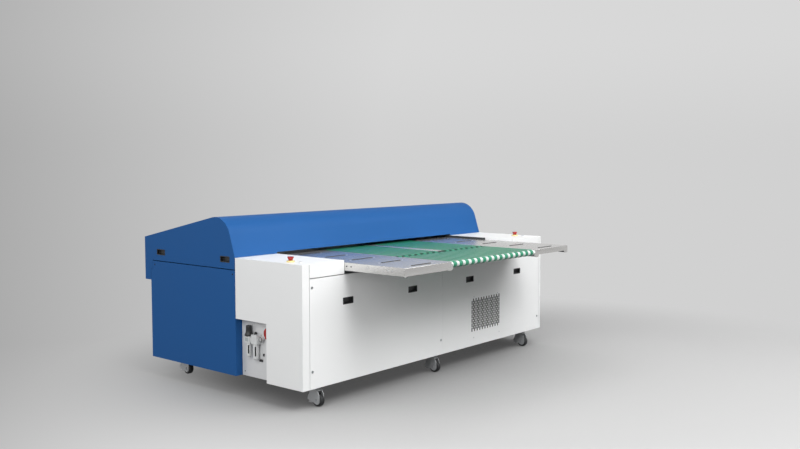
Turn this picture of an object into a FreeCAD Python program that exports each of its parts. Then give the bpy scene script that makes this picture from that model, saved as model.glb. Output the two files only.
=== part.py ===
"""Flatbed UV printer: a belt-fed, hooded printer on a wheeled cabinet.

Millimetres, +Z up, +X to the machine's right seen from its feed side, +Y towards its rear.
While the pieces are made, x is measured from the middle of the cabinet, y from the plane of
its front panels and z from the floor. save() then moves every piece along y, so that the
origin lies on the floor under the middle of the whole machine.
"""
import FreeCAD, Part
import os
from math import cos, pi, radians, sin, tan

Vec = FreeCAD.Vector

# Cabinet
body_width = 2660.0
body_depth = 1510.0
body_height = 750.0
ground_clearance = 130.0
sheet = 2.0                  # thickness of the folded sheet covers
seam = 3.0                   # visible gap between neighbouring covers
top_seam = 5.0               # gap above the front panels
hood_seam = 6.0              # gap under the hood's cheeks
fine_seam = 1.0              # gap beside the hood's tail and between two equal panels
skin_inset = 55.0            # depth of the side covers, outside the frame
front_inset = 25.0           # depth of the front and rear panels, outside the frame
left_unit_width = 355.0      # the raised box on the left of the table
right_unit_width = 415.0     # the raised box on the right of the table
unit_depth = 606.0           # front plane to the foot of the hood
cover_tongue = 40.0          # how far the raised boxes' tops run in under the hood
front_panel_height = 661.0
left_strip = 57.0            # front flange of the left side panel
right_strip = 23.0           # front flange of the right side panel

# Frame of square steel tube
tube = 60.0
tube_wall = 3.0
middle_rail_y = 720.0
cross_left = 650.0           # first cross tube from the cabinet's left side
cross_right = 710.0          # last cross tube from its right side
cross_shift = 30.0           # middle cross tube left of the cabinet's middle
control_width = 560.0        # electrical cabinet
control_depth = 360.0
control_height = 440.0
control_left = 350.0         # from the cabinet's left side
control_set_back = 175.0
door_inset = 8.0
door_thickness = 12.0
tank_pitch = 62.0            # ink bottles
tank_width = 52.0
tank_depth = 140.0
tank_height = 190.0
tank_gap = 40.0
tank_set_back = 195.0
tank_cap = 28.0
tank_cap_height = 22.0
blower_set_back = 305.0      # vacuum blower
blower_axis = 190.0
blower_radius = 150.0
blower_depth = 90.0
blower_front = 60.0
blower_foot = 30.0
blower_foot_rear = 150.0
motor_radius = 85.0
motor_length = 190.0
motor_shift = 50.0
port_offset = 110.0

# Hood
hood_overhang = 65.0         # the hood's rear wall behind the cabinet's
hood_foot = 750.0            # height of the front edge above the cabinet's lower edge
hood_rear_height = 833.0
hood_side_foot = 676.0
hood_tail_foot = 615.0
hood_tail = 88.0             # length of the deeper rear end of the hood's cheeks
hood_radius = 150.0
hood_lean = 18.0
hood_slope = 12.3
hood_lift_edge = 10.0        # extra height of the front edge over the table
hood_rest = 0.3              # between the hood's front edge and the raised boxes
cheek_gap = 2.5              # between the raised boxes and the blue panels behind them
exit_low = 725.0
exit_high = 800.0
rail_foot = 537.0            # lower edge of the ledge that carries the hood's tail

# Utility recess in the left end
recess_y = 319.0
recess_height = 367.0

# Table and conveyors
table_height = 735.0         # above the cabinet's lower edge
table_reach = 480.0          # how far the table stands out in front
table_rear_gap = 30.0        # from the table's rear edge to the cabinet's rear
table_flange = 49.0
table_gap = 3.0              # between the table and the raised boxes
belt_count = 15
belt_pitch = 64.0
belt_width = 33.0
belt_thickness = 2.2
belt_rise = 2.0              # belts stand this far above the table plates
wrap_facets = 6              # flats by which a belt goes round a roller
bed_width = 980.0
bed_plate = 3.0
roller_radius = 19.0
roller_clearance = 0.3
journal_radius = 8.0
running_gap = 0.05
nip_y = -45.0                # where the front conveyor hands over to the rear one
nip_spacing = 48.0
strip_width = 66.0
slot_length = 185.0
slot_width = 9.0
slot_pitch = 240.0
slot_first_y = -420.0
slot_rows = 5
fence_start = 256.0
fence_width = 18.0
fence_height = 15.0

# Gantry and print carriage
beam_y = 1040.0
beam_depth = 120.0
beam_height = 110.0
beam_lift = 50.0             # clear height under the beam, above the table
beam_end = 40.0              # from the cabinet's side to the beam's end
rail_end = 10.0              # from the beam's end to the guide rails' end
beam_wall = 6.0
guide_width = 20.0
guide_height = 20.0
guide_pitch = 60.0
guide_margin = 25.0
carriage_width = 312.0
carriage_depth = 298.0
carriage_height = 160.0
carriage_wall = 6.0
carriage_park = 208.0        # from the cabinet's right side to the parked carriage's middle
block_length = 70.0
block_height = 44.0
block_depth = 30.0
head_gap = 3.0               # nozzle plate above the belts
head_columns = 3
head_rows = 2
lamp_width = 34.0

# Casters
wheel_radius = 39.0
wheel_width = 32.0
caster_trail = 46.0
caster_height = 124.0
caster_side = 178.0          # swivel axis from the cabinet's side
caster_front = 98.0          # swivel axis behind the front plane
caster_rear = 122.0          # swivel axis ahead of the cabinet's rear
axle_radius = 6.0
kingpin_radius = 6.0
fork_inner = 34.0
fork_plate = 4.0
crown_thickness = 5.0
foot_behind = 11.0           # foot's axis behind the swivel axis
foot_radius = 20.0
foot_low = 18.0              # raised foot above the floor
housing_low = 30.0

# Pull handles, grille and controls
pull_width = 93.0
pull_height = 43.0
pull_depth = 20.0
pull_wall = 1.5
pull_lip = 3.0
pull_inset = 328.0           # handle's middle from the panel's side
pull_drop = 163.0            # handle's middle below the panel's top
hood_pull_height = 40.0
hood_pull_front = 98.0       # front handle's middle behind the foot of the hood
hood_pull_rear = 187.0       # rear handle's middle ahead of the hood's rear wall
hood_pull_raise = 59.0       # handles' middle above the cheek's lower edge
grille_x = 335.0
grille_width = 425.0
grille_z = 45.0
grille_height = 327.0
grille_sheet = 1.5
grille_columns = 22
grille_column_pitch = 16.8
grille_slot_width = 13.0
grille_slot_height = 223.0
grille_stagger = 16.5        # every second slot is this much higher
grille_field_x = 33.0        # perforated field from the plate's left edge
grille_field_z = 61.0        # perforated field above the plate's lower edge
estop_radius = 20.0
estop_travel = 4.0
estop_rise = 34.0            # top of the mushroom above the raised box
collar_radius = 25.0
collar_height = 10.0
collar_recess = 15.0         # the mushroom's skirt sinks into the collar
collar_floor = 6.0
stem_radius = 7.0
estop_y = 172.0
estop_left_x = 70.0
estop_right_x = 120.0
button_radius = 8.0
button_y = 120.0
button_left_x = 101.0
button_right_x = 80.0
button_travel = 2.0
regulator_y = 512.0
lubricator_y = 447.0
filter_axis = 27.0           # bowls' and knob's axis behind the side plane
filter_z = 222.0
stud_radius = 8.0
window_turn = 40.0           # the bowls' windows are turned this far from the side
switch_radius = 36.0
switch_y = 356.0
switch_z = 295.0

# Flats round the small turned pieces
wheel_sides = 36
cap_sides = 24
bore_sides = 16
rough_sides = 12

# Places worked out from the sizes above
side = body_width / 2
hood_rear = body_depth + hood_overhang
table_rear = body_depth - table_rear_gap
floor_line = ground_clearance
top = floor_line + body_height
unit_left = -side + left_unit_width
unit_right = side - right_unit_width
table_z = floor_line + table_height
table_middle = (unit_left + unit_right) / 2
flange_foot = table_z - table_flange
belt_top = table_z + belt_rise
belt_radius = roller_radius + roller_clearance
axis_z = belt_top - belt_thickness - belt_radius
bed_top = axis_z + belt_radius
front_axis = -table_reach + belt_radius + belt_thickness + 1.0
front_tail_axis = nip_y - nip_spacing / 2
rear_head_axis = nip_y + nip_spacing / 2
rear_tail_axis = table_rear - tube / 2
frame_side = side - skin_inset
frame_rear = body_depth - front_inset
panel_split = (left_strip - right_strip) / 2
unit_beam_top = top - 2 * sheet
rail_top = flange_foot
beam_foot = table_z + beam_lift
guide_low = beam_foot + guide_margin
carriage_x = side - carriage_park
head_z = belt_top + head_gap
equipment_z = floor_line + tube + sheet
cross_x = (-side + cross_left, -cross_shift, side - cross_right)
control_x = -side + control_left
shift_y = (table_reach - hood_rear) / 2


def box(x0, x1, y0, y1, z0, z1):
    """A box between two corners."""
    return Part.makeBox(x1 - x0, y1 - y0, z1 - z0, Vec(x0, y0, z0))


def rod(radius, start, direction, length):
    """A cylinder from a start point along a direction."""
    return Part.makeCylinder(radius, length, Vec(*start), Vec(*direction))


def mirrored(shape):
    """The same piece on the other side of the cabinet's middle plane."""
    return shape.mirror(Vec(0, 0, 0), Vec(1, 0, 0))


def side_profile(points, x0, x1):
    """A prism along x whose outline is given as (y, z) points."""
    corners = [Vec(x0, y, z) for y, z in points]
    face = Part.Face(Part.makePolygon(corners + corners[:1]))
    return face.extrude(Vec(x1 - x0, 0, 0))


def open_box(x0, x1, y0, y1, z0, z1, wall, open_side):
    """A folded box with walls of one thickness and one side left open."""
    low = Vec(x0 + wall, y0 + wall, z0 + wall)
    high = Vec(x1 - wall, y1 - wall, z1 - wall)
    axis = "xyz".index(open_side[1])
    if open_side[0] == "-":
        low[axis] = (x0, y0, z0)[axis]
    else:
        high[axis] = (x1, y1, z1)[axis]
    inside = box(low.x, high.x, low.y, high.y, low.z, high.z)
    return box(x0, x1, y0, y1, z0, z1).cut(inside)


def turned(points, centre, axis, sides, closed=False):
    """A turned piece with a number of flats round it, which keeps small pieces light.

    Points are (radius, height) pairs along the axis. They run from axis to axis, or close on
    themselves for a piece with a bore.
    """
    rings = []
    for radius, height in points:
        turns = [2 * pi * i / sides for i in range(sides)]
        rings.append([Vec(radius * cos(a), radius * sin(a), height) for a in turns])
    pairs = list(zip(rings, rings[1:]))
    if closed:
        pairs.append((rings[-1], rings[0]))
    faces = []
    for low, high in pairs:
        for i in range(sides):
            j = (i + 1) % sides
            corners = [low[i], low[j], high[j], high[i]]
            distinct = [c for k, c in enumerate(corners) if (c - corners[k - 1]).Length > 1e-6]
            faces.append(Part.Face(Part.makePolygon(distinct + distinct[:1])))
    solid = Part.Solid(Part.Shell(faces)).removeSplitter()
    turn = FreeCAD.Rotation(Vec(0, 0, 1), Vec(*axis))
    solid.Placement = FreeCAD.Placement(Vec(*centre), turn)
    return solid


def bore(radius, start, direction, length):
    """Cutter for a bore. Its flats touch a circle of this radius."""
    reach = radius / cos(pi / bore_sides)
    return turned([(0, 0), (reach, 0), (reach, length), (0, length)], start, direction,
                  bore_sides)


def square_tube(x0, x1, y0, y1, z0, z1):
    """One frame member: a tube along the longest side of its box, open at both ends."""
    spans = (x1 - x0, y1 - y0, z1 - z0)
    along = spans.index(max(spans))
    low = Vec(x0 + tube_wall, y0 + tube_wall, z0 + tube_wall)
    high = Vec(x1 - tube_wall, y1 - tube_wall, z1 - tube_wall)
    low[along] = (x0, y0, z0)[along]
    high[along] = (x1, y1, z1)[along]
    return box(x0, x1, y0, y1, z0, z1).cut(box(low.x, high.x, low.y, high.y, low.z, high.z))


def save(name, *solids):
    """Write one named piece, or a group of separate solids, at its place in the machine."""
    shape = solids[0] if len(solids) == 1 else Part.makeCompound(list(solids))
    shape = shape.copy()
    shape.translate(Vec(0, shift_y, 0))
    shape.exportStep("parts/" + name + ".step")


# Frame ---------------------------------------------------------------------------------------


def base_frame():
    """Welded frame: lower ring, uprights, table rails, raised ends and the table's arms."""
    front, back = front_inset, frame_rear
    low, rail_foot_z = floor_line, rail_top - tube
    members = []
    for y in (front, back - tube):
        members.append(square_tube(-frame_side, frame_side, y, y + tube, low, low + tube))
    for y in (front, middle_rail_y, back - tube):
        members.append(square_tube(-frame_side, frame_side, y, y + tube, rail_foot_z, rail_top))
    side_rails = (-frame_side, frame_side - tube)
    for x in side_rails + cross_x:
        members.append(square_tube(x, x + tube, front + tube, back - tube, low, low + tube))
    for x in side_rails:
        for y in (front, middle_rail_y, back - tube):
            members.append(square_tube(x, x + tube, y, y + tube, low + tube, rail_foot_z))
        for y0, y1 in ((front + tube, middle_rail_y), (middle_rail_y + tube, back - tube)):
            members.append(square_tube(x, x + tube, y0, y1, rail_foot_z, rail_top))
    for y in (front, back - tube):
        x = cross_x[1]
        members.append(square_tube(x, x + tube, y, y + tube, low + tube, rail_foot_z))
    members += raised_end_members()
    members += table_arms()
    members += caster_pads()
    return members


def raised_end_members():
    """The two side tubes of each raised box, standing on the rails beside the table."""
    members = []
    back = unit_depth + cover_tongue
    left = (-frame_side, unit_left - sheet - tube)
    right = (frame_side - tube, unit_right + sheet)
    for x in left + right:
        members.append(square_tube(x, x + tube, front_inset, back, rail_top, unit_beam_top))
    return members


def table_arms():
    """Four arms that carry the table out in front of the cabinet."""
    arms = []
    arm_width = 40.0
    for x0, x1 in plate_spans():
        for x in (x0 + sheet, x1 - sheet - arm_width):
            arms.append(
                square_tube(x, x + arm_width, -table_reach + 2 * sheet,
                            middle_rail_y + tube, flange_foot, table_z - sheet)
            )
    return arms


def caster_places():
    """Swivel axes of the six casters, front row first."""
    columns = (-side + caster_side, 0.0, side - caster_side)
    return [(x, y) for y in (caster_front, body_depth - caster_rear) for x in columns]


def caster_pads():
    """Plates under the frame for the casters to bolt to."""
    pads = []
    for x, y in caster_places():
        pads.append(box(x - 65, x + 65, y - 65, y + 60, caster_height, floor_line))
    return pads


def base_floor():
    """Sheet floor of the cabinet, on the lower ring."""
    edge = tube + sheet
    return box(-frame_side + edge, frame_side - edge, front_inset + edge, frame_rear - edge,
               floor_line + tube, floor_line + tube + sheet)


# Covers --------------------------------------------------------------------------------------


def left_side_panel():
    """White side panel with its front flange and the cut-out round the utility recess."""
    x0, x1 = -side, -frame_side
    y1 = unit_depth - 1.0
    notch_top = floor_line + recess_height
    panel = open_box(x0, x1, 0, y1, floor_line, top - sheet, sheet, "+x")
    strip = box(x0, x0 + left_strip, 0, sheet, floor_line, top - sheet)
    panel = panel.fuse(strip)
    panel = panel.cut(box(x0, x1, recess_y - sheet, y1, floor_line, notch_top + sheet))
    depth = skin_inset - sheet
    jamb = box(x0, x0 + depth, recess_y - sheet, recess_y, floor_line, notch_top)
    lintel = box(x0, x0 + depth, recess_y - sheet, y1, notch_top, notch_top + sheet)
    return panel.fuse([jamb, lintel]).removeSplitter()


def right_side_panel():
    """White side panel of the right end. Its front flange is narrow, so the panel is cut away
    where the front panel and the cover beside it pass in front of the frame.
    """
    y1 = unit_depth - 1.0
    panel = open_box(frame_side, side, 0, y1, floor_line, top - sheet, sheet, "-x")
    passing = box(frame_side, side - right_strip, 0, front_inset, floor_line, top)
    return panel.cut(passing)


def end_cover(inner_width, strip, estop_x, button_x):
    """Cover of a raised box, made for the left end: top, inner wall and upper front."""
    x0, x1 = -side, -side + inner_width
    back = unit_depth + cover_tongue
    lid = box(x0, x1, 0, unit_depth, top - sheet, top)
    tongue = box(-frame_side, x1, unit_depth, back, top - sheet, top)
    inner_wall = box(x1 - sheet, x1, 0, back, rail_top, top)
    front_foot = floor_line + front_panel_height + top_seam
    front = box(x0 + strip + seam, x1, 0, sheet, front_foot, top)
    cover = lid.fuse([tongue, inner_wall, front]).removeSplitter()
    hole = bore(button_radius + running_gap, (x0 + button_x, button_y, top - 10), (0, 0, 1), 20)
    return cover.cut(hole)


def lower_side_panel():
    """Blue lower panel of the left side, stepped where the hood's tail comes down."""
    y0, y1 = unit_depth + cheek_gap, body_depth - sheet
    step_y, step_z = hood_rear - hood_tail - fine_seam, floor_line + hood_tail_foot - fine_seam
    ceiling = floor_line + hood_side_foot - hood_seam
    outline = [(y0, floor_line), (y1, floor_line), (y1, step_z), (step_y, step_z),
               (step_y, ceiling), (y0, ceiling)]
    s = sheet
    inner = [(y0 + s, floor_line + s), (y1 - s, floor_line + s), (y1 - s, step_z - s),
             (step_y - s, step_z - s), (step_y - s, ceiling - s), (y0 + s, ceiling - s)]
    outside = side_profile(outline, -side, -frame_side)
    return outside.cut(side_profile(inner, -side + sheet, -frame_side))


def front_panel(x0, x1, apertures):
    """Lift-off front panel: a shallow tray with its handle holes and any other aperture."""
    height = floor_line + front_panel_height
    panel = open_box(x0, x1, 0, front_inset, floor_line, height, sheet, "+y")
    holes = [box(a0, a1, -1, sheet + 1, b0, b1) for a0, a1, b0, b1 in apertures]
    return panel.cut(Part.makeCompound(holes))


def rear_panels():
    """Two screwed panels that close the rear below the hood's ledge."""
    edge = frame_side - 2.0
    height = floor_line + rail_foot - seam
    left = open_box(-edge, -fine_seam / 2, frame_rear, body_depth, floor_line, height, sheet, "-y")
    return [left, mirrored(left)]


def rear_rail():
    """Folded ledge along the rear that the hood's tail stands on."""
    foot, head = floor_line + rail_foot, floor_line + hood_tail_foot
    outer = box(-side, side, body_depth, hood_rear, foot, head)
    web = box(-frame_side, frame_side, frame_rear, body_depth, foot, head)
    hollow = box(-side + sheet, side - sheet, body_depth, hood_rear - sheet,
                 foot + sheet, head - sheet)
    throat = box(-frame_side + sheet, frame_side - sheet, frame_rear, body_depth,
                 foot + sheet, head - sheet)
    return outer.fuse(web).cut(hollow).cut(throat)


def hood_profile(inset, depth_below):
    """Outline of the hood in the (y, z) plane, moved inwards by inset.

    The front leans back and runs through an arc into the roof, which falls to the rear.
    The lower edges go down by depth_below, which opens the underside of the inner prism.
    """
    lean, slope = radians(hood_lean), radians(hood_slope)
    front_normal = (-cos(lean), sin(lean))
    roof_normal = (sin(slope), cos(slope))
    foot_z = floor_line + hood_foot
    rear_z = floor_line + hood_rear_height
    b1 = front_normal[0] * unit_depth + front_normal[1] * foot_z - hood_radius
    b2 = roof_normal[0] * hood_rear + roof_normal[1] * rear_z - hood_radius
    det = front_normal[0] * roof_normal[1] - front_normal[1] * roof_normal[0]
    centre_y = (b1 * roof_normal[1] - front_normal[1] * b2) / det
    centre_z = (front_normal[0] * b2 - b1 * roof_normal[0]) / det
    radius = hood_radius - inset
    middle_angle = (pi - lean + pi / 2 - slope) / 2

    def on_arc(ay, az):
        return Vec(0, centre_y + radius * ay, centre_z + radius * az)

    start = on_arc(*front_normal)
    middle = on_arc(cos(middle_angle), sin(middle_angle))
    end = on_arc(*roof_normal)
    front_foot = foot_z + hood_rest - depth_below
    front_y = start.y - (start.z - front_foot) * tan(lean)
    cheek_y = unit_depth + cheek_gap - inset
    rear_y = hood_rear - inset
    roof_rear = end.z - (rear_y - end.y) * tan(slope)
    side_foot = floor_line + hood_side_foot - depth_below
    tail_foot = floor_line + hood_tail_foot - depth_below
    tail_y = hood_rear - hood_tail - inset
    below = [Vec(0, rear_y, roof_rear), Vec(0, rear_y, tail_foot), Vec(0, tail_y, tail_foot),
             Vec(0, tail_y, side_foot), Vec(0, cheek_y, side_foot),
             Vec(0, cheek_y, front_foot), Vec(0, front_y, front_foot)]
    edges = [Part.LineSegment(below[-1], start).toShape(),
             Part.Arc(start, middle, end).toShape(),
             Part.LineSegment(end, below[0]).toShape()]
    edges += [Part.LineSegment(a, b).toShape() for a, b in zip(below, below[1:])]
    return Part.Face(Part.Wire(edges))


def hood():
    """One welded cover: rolled front, sloping roof, rear wall and two cheeks."""
    outer = hood_profile(0.0, 0.0)
    outer.translate(Vec(-side, 0, 0))
    outer = outer.extrude(Vec(body_width, 0, 0))
    inner = hood_profile(sheet, sheet)
    inner.translate(Vec(-side + sheet, 0, 0))
    inner = inner.extrude(Vec(body_width - 2 * sheet, 0, 0))
    feed = box(unit_left - 1, unit_right + 1, unit_depth - 10, unit_depth + 20,
               top - 1, top + hood_lift_edge)
    exit_slot = box(unit_left + tube, unit_right - tube, hood_rear - 10, hood_rear + 10,
                    floor_line + exit_low, floor_line + exit_high)
    shell = outer.cut(inner).cut(feed).cut(exit_slot)
    holes = []
    for y in hood_pull_places():
        w, h = pull_width / 2 - pull_lip, hood_pull_height / 2 - pull_lip
        z = hood_pull_z()
        holes.append(box(-side - 5, side + 5, y - w, y + w, z - h, z + h))
    return shell.cut(Part.makeCompound(holes))


# Pull handles --------------------------------------------------------------------------------

def hood_pull_places():
    """Middles of the handles along a cheek."""
    return (unit_depth + hood_pull_front, hood_rear - hood_pull_rear)


def hood_pull_z():
    """Height of the handles in the cheeks."""
    return floor_line + hood_side_foot + hood_pull_raise


def pull_cup(height):
    """A flush pull at the origin, facing -y: a flat lip round a pocket for the fingers."""
    w, h = pull_width / 2, height / 2
    lip = box(-w, w, -pull_wall, 0, -h, h)
    pw, ph = w - pull_lip - 0.5, h - pull_lip - 0.5
    pocket = box(-pw, pw, 0, pull_depth, -ph, ph)
    hollow = box(-pw + pull_wall, pw - pull_wall, -pull_wall, pull_depth - pull_wall,
                 -ph + pull_wall, ph - pull_wall)
    return lip.fuse(pocket).cut(hollow)


def front_pulls(x0, x1):
    """The two handles of a front panel."""
    z = floor_line + front_panel_height - pull_drop
    cups = []
    for x in (x0 + pull_inset, x1 - pull_inset):
        cup = pull_cup(pull_height)
        cup.translate(Vec(x, 0, z))
        cups.append(cup)
    return cups


def hood_pulls():
    """The four handles of the hood, two in each cheek."""
    cups = []
    for y in hood_pull_places():
        cup = pull_cup(hood_pull_height)
        cup.rotate(Vec(0, 0, 0), Vec(0, 0, 1), -90)
        cup.translate(Vec(-side, y, hood_pull_z()))
        cups += [cup, mirrored(cup)]
    return cups


def pull_apertures(x0, x1):
    """Holes in a front panel for its handles."""
    z = floor_line + front_panel_height - pull_drop
    w, h = pull_width / 2 - pull_lip, pull_height / 2 - pull_lip
    return [(x - w, x + w, z - h, z + h) for x in (x0 + pull_inset, x1 - pull_inset)]


def grille_aperture():
    """Hole in the right front panel behind the slots of the vent plate."""
    x0 = grille_x + grille_field_x - 6
    z0 = floor_line + grille_z + grille_field_z - 6
    width = grille_columns * grille_column_pitch + 8
    height = grille_slot_height + grille_stagger + 12
    return (x0, x0 + width, z0, z0 + height)


def vent_grille():
    """Slotted plate screwed over the aperture. Every second slot is set higher."""
    x0, z0 = grille_x, floor_line + grille_z
    plate = box(x0, x0 + grille_width, -grille_sheet, 0, z0, z0 + grille_height)
    slots = []
    for column in range(grille_columns):
        x = x0 + grille_field_x + column * grille_column_pitch
        z = z0 + grille_field_z + (grille_stagger if column % 2 else 0.0)
        slots.append(box(x, x + grille_slot_width, -grille_sheet - 1, 1,
                         z, z + grille_slot_height))
    return plate.cut(Part.makeCompound(slots))


# Utility recess ------------------------------------------------------------------------------

def utility_panel():
    """Grey panel at the back of the recess, with the main switch's hole."""
    x1 = -frame_side
    panel = box(x1 - sheet, x1, recess_y - sheet, unit_depth + 1.0, floor_line,
                floor_line + recess_height + sheet)
    hole = bore(axle_radius + running_gap, (x1 - 10, switch_y, floor_line + switch_z),
                (1, 0, 0), 20)
    return panel.cut(hole)


def air_filter():
    """Filter-regulator and lubricator blocks with their coupler, sight dome and gauge."""
    x0, x1 = -side + 10.0, -frame_side - sheet
    z = floor_line + filter_z
    axis_x = -side + filter_axis
    regulator = box(x0, x1, regulator_y - 24, regulator_y + 24, z, z + 44)
    stud = rod(stud_radius, (axis_x, regulator_y, z + 44), (0, 0, 1), 14)
    coupler = box(x0 + 8, x1 - 4, lubricator_y + 25, regulator_y - 24, z + 8, z + 36)
    lubricator = box(x0, x1, lubricator_y - 25, lubricator_y + 25, z, z + 59)
    dome = turned([(0, 0), (9, 0), (9, 12), (5, 18), (0, 18)], (axis_x, lubricator_y, z + 59),
                  (0, 0, 1), bore_sides)
    neck = box(axis_x - 5, axis_x + 5, lubricator_y - 37, lubricator_y - 25, z + 31, z + 41)
    body = regulator.fuse([stud, coupler, lubricator, dome, neck]).removeSplitter()
    gauge = turned([(0, 0), (14, 0), (14, 13), (0, 13)],
                   (axis_x + 8, lubricator_y - 25 - 12 - 14, z + 36), (-1, 0, 0), cap_sides)
    return [body, gauge]


def filter_bowl(y, radius, length):
    """A tapered bowl guard with its long window, hanging under a block."""
    z = floor_line + filter_z
    x = -side + filter_axis
    bowl = turned([(0, -length), (radius - 8, -length), (radius, 12 - length), (radius, 0),
                   (0, 0)], (x, y, z), (0, 0, 1), cap_sides)
    window = box(x - radius - 1, x - radius + 4, y - 4.5, y + 4.5, z - length + 24, z - 8)
    window.rotate(Vec(x, y, z), Vec(0, 0, 1), window_turn)
    return bowl.cut(window)


def regulator_knob():
    """Tall flared knob over the regulator."""
    base = 1.0
    rise = 66.0
    profile = [(0, 0), (26, 0), (18, 22), (18, rise), (0, rise)]
    place = (-side + filter_axis, regulator_y, floor_line + filter_z + 44 + base)
    knob = turned(profile, place, (0, 0, 1), cap_sides)
    return knob.cut(rod(stud_radius + running_gap, place, (0, 0, 1), 15))


def main_switch():
    """Red rotary switch: a round plate with a grip bar and its spindle."""
    x1 = -frame_side - sheet
    z = floor_line + switch_z
    disc = turned([(0, 0), (switch_radius, 0), (switch_radius, 11), (0, 11)],
                  (x1 - 12.0, switch_y, z), (1, 0, 0), wheel_sides)
    grip = box(x1 - 28, x1 - 12, switch_y - 7, switch_y + 7, z - 32, z + 32)
    spindle = rod(axle_radius, (x1 - 2, switch_y, z), (1, 0, 0), 4)
    return disc.fuse([grip, spindle]).removeSplitter()


# Controls ------------------------------------------------------------------------------------


def estop_places():
    """The emergency stops' axes on the two raised boxes."""
    return (-side + estop_left_x, side - estop_right_x)


def estop_bases():
    """Yellow collars under the emergency stops."""
    inner = stem_radius + 0.5
    profile = [(inner, 0), (collar_radius, 0), (collar_radius, collar_height - 2.5),
               (collar_radius - 3, collar_height), (collar_recess, collar_height),
               (collar_recess, collar_floor), (inner, collar_floor)]
    return [turned(profile, (x, estop_y, top), (0, 0, 1), bore_sides, closed=True)
            for x in estop_places()]


def estop_button(x):
    """Red mushroom that widens upwards, on a stem that runs in the collar. When it is
    pressed, its skirt sinks into the collar's recess.
    """
    skirt = collar_floor + estop_travel + 0.5
    profile = [(0, collar_floor - 1.4), (stem_radius, collar_floor - 1.4), (stem_radius, skirt),
               (estop_radius - 8, skirt), (estop_radius, estop_rise - 5),
               (estop_radius, estop_rise - 2.5), (estop_radius - 3.5, estop_rise),
               (0, estop_rise)]
    return turned(profile, (x, estop_y, top), (0, 0, 1), cap_sides)


def push_button(x):
    """Small button in the raised box's top."""
    profile = [(0, -1.5), (button_radius, -1.5), (button_radius, 4), (6, 5.5), (0, 5.5)]
    return turned(profile, (x, button_y, top), (0, 0, 1), bore_sides)


# Table and conveyors -------------------------------------------------------------------------


def plate_spans():
    """Left and right table plates, as (x0, x1)."""
    half = bed_width / 2
    return ((unit_left + table_gap, table_middle - half),
            (table_middle + half, unit_right - table_gap))


def table_plate(x0, x1):
    """Folded steel plate with flanges all round and a row of cross slots."""
    plate = open_box(x0, x1, -table_reach, table_rear, flange_foot, table_z, sheet, "-z")
    middle = (x0 + x1) / 2
    slots = []
    for row in range(slot_rows):
        y = slot_first_y + row * slot_pitch
        slots.append(box(middle - slot_length / 2, middle + slot_length / 2,
                         y - slot_width / 2, y + slot_width / 2, table_z - 10, table_z + 10))
    return plate.cut(Part.makeCompound(slots))


def belt_centres(skip_middle):
    """x of each belt. The rear conveyor has a steel strip in place of the middle one."""
    first = table_middle - (belt_count - 1) * belt_pitch / 2
    middle = belt_count // 2
    return [first + i * belt_pitch for i in range(belt_count) if not (skip_middle and i == middle)]


def belt_loop(x, y0, y1):
    """One belt: a flat loop round two rollers, bent in a few flat facets at each of them."""
    step = pi / wrap_facets

    def outline(radius):
        corners = []
        for i in range(wrap_facets):
            turn = (i + 0.5) * step
            reach, rise = radius * sin(turn) / cos(step / 2), radius * cos(turn) / cos(step / 2)
            corners.append((y1 + reach, axis_z + rise))
        for y, z in list(reversed(corners)):
            corners.append((y0 - (y - y1), z))
        return corners

    x0, x1 = x - belt_width / 2, x + belt_width / 2
    outside = side_profile(outline(belt_radius + belt_thickness), x0, x1)
    return outside.cut(side_profile(outline(belt_radius), x0, x1))


def conveyor_roller(y):
    """Full-width roller with a journal at each end, running in the bed's side webs."""
    half = bed_width / 2
    length = bed_width - 12
    face = turned([(0, 0), (roller_radius, 0), (roller_radius, length), (0, length)],
                  (table_middle - half + 6, y, axis_z), (1, 0, 0), cap_sides)
    shaft = rod(journal_radius, (table_middle - half, y, axis_z), (1, 0, 0), bed_width)
    return face.fuse(shaft).removeSplitter()


def conveyor_bed(y0, y1, axis0, axis1, rounded):
    """Slider plate between two side webs. The webs carry the rollers' journals."""
    half = bed_width / 2
    left, right = table_middle - half, table_middle + half
    gap = roller_radius * 0.7
    plate = box(left, right, axis0 + gap, axis1 - gap, bed_top - bed_plate, bed_top)
    pieces = []
    middle_z = (bed_top + flange_foot) / 2
    end_radius = (bed_top - flange_foot) / 2
    start = y0 + end_radius if rounded else y0
    for x in (left, right - bed_plate):
        web = box(x, x + bed_plate, start, y1, flange_foot, bed_top)
        if rounded:
            web = web.fuse(rod(end_radius, (x, start, middle_z), (1, 0, 0), bed_plate))
        pieces.append(web)
    ribs = max(2, round((axis1 - axis0) / 320))
    for i in range(ribs):
        y = axis0 + (axis1 - axis0) * (i + 0.5) / ribs
        pieces.append(box(left, right, y - 20, y + 20, bed_top - bed_plate - 18,
                          bed_top - bed_plate))
    bed = plate.fuse(pieces).removeSplitter()
    for y in (axis0, axis1):
        bed = bed.cut(bore(journal_radius + running_gap, (left - 5, y, axis_z), (1, 0, 0),
                           bed_width + 10))
    return bed


def center_strip():
    """Steel strip down the middle of the rear conveyor, level with the belts."""
    half = strip_width / 2
    return box(table_middle - half, table_middle + half, rear_head_axis + 10,
               rear_tail_axis - 10, bed_top, belt_top)


def side_fence():
    """Guide bar along the right edge of the table, for the sheet's edge to run against."""
    x1 = unit_right - table_gap
    back = unit_depth + cover_tongue - 6
    return box(x1 - fence_width, x1, fence_start, back, table_z, table_z + fence_height)


# Gantry and carriage -------------------------------------------------------------------------


def gantry():
    """Hollow beam over the table on a block at each end."""
    x0, x1 = -side + beam_end, side - beam_end
    y0, y1 = beam_y, beam_y + beam_depth
    z0, z1 = beam_foot, beam_foot + beam_height
    w = beam_wall
    beam = box(x0, x1, y0, y1, z0, z1).cut(box(x0, x1, y0 + w, y1 - w, z0 + w, z1 - w))
    block = box(-frame_side, -frame_side + 100, y0 - 10, y1 + 10, rail_top, z0)
    return [beam, block, mirrored(block)]


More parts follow.
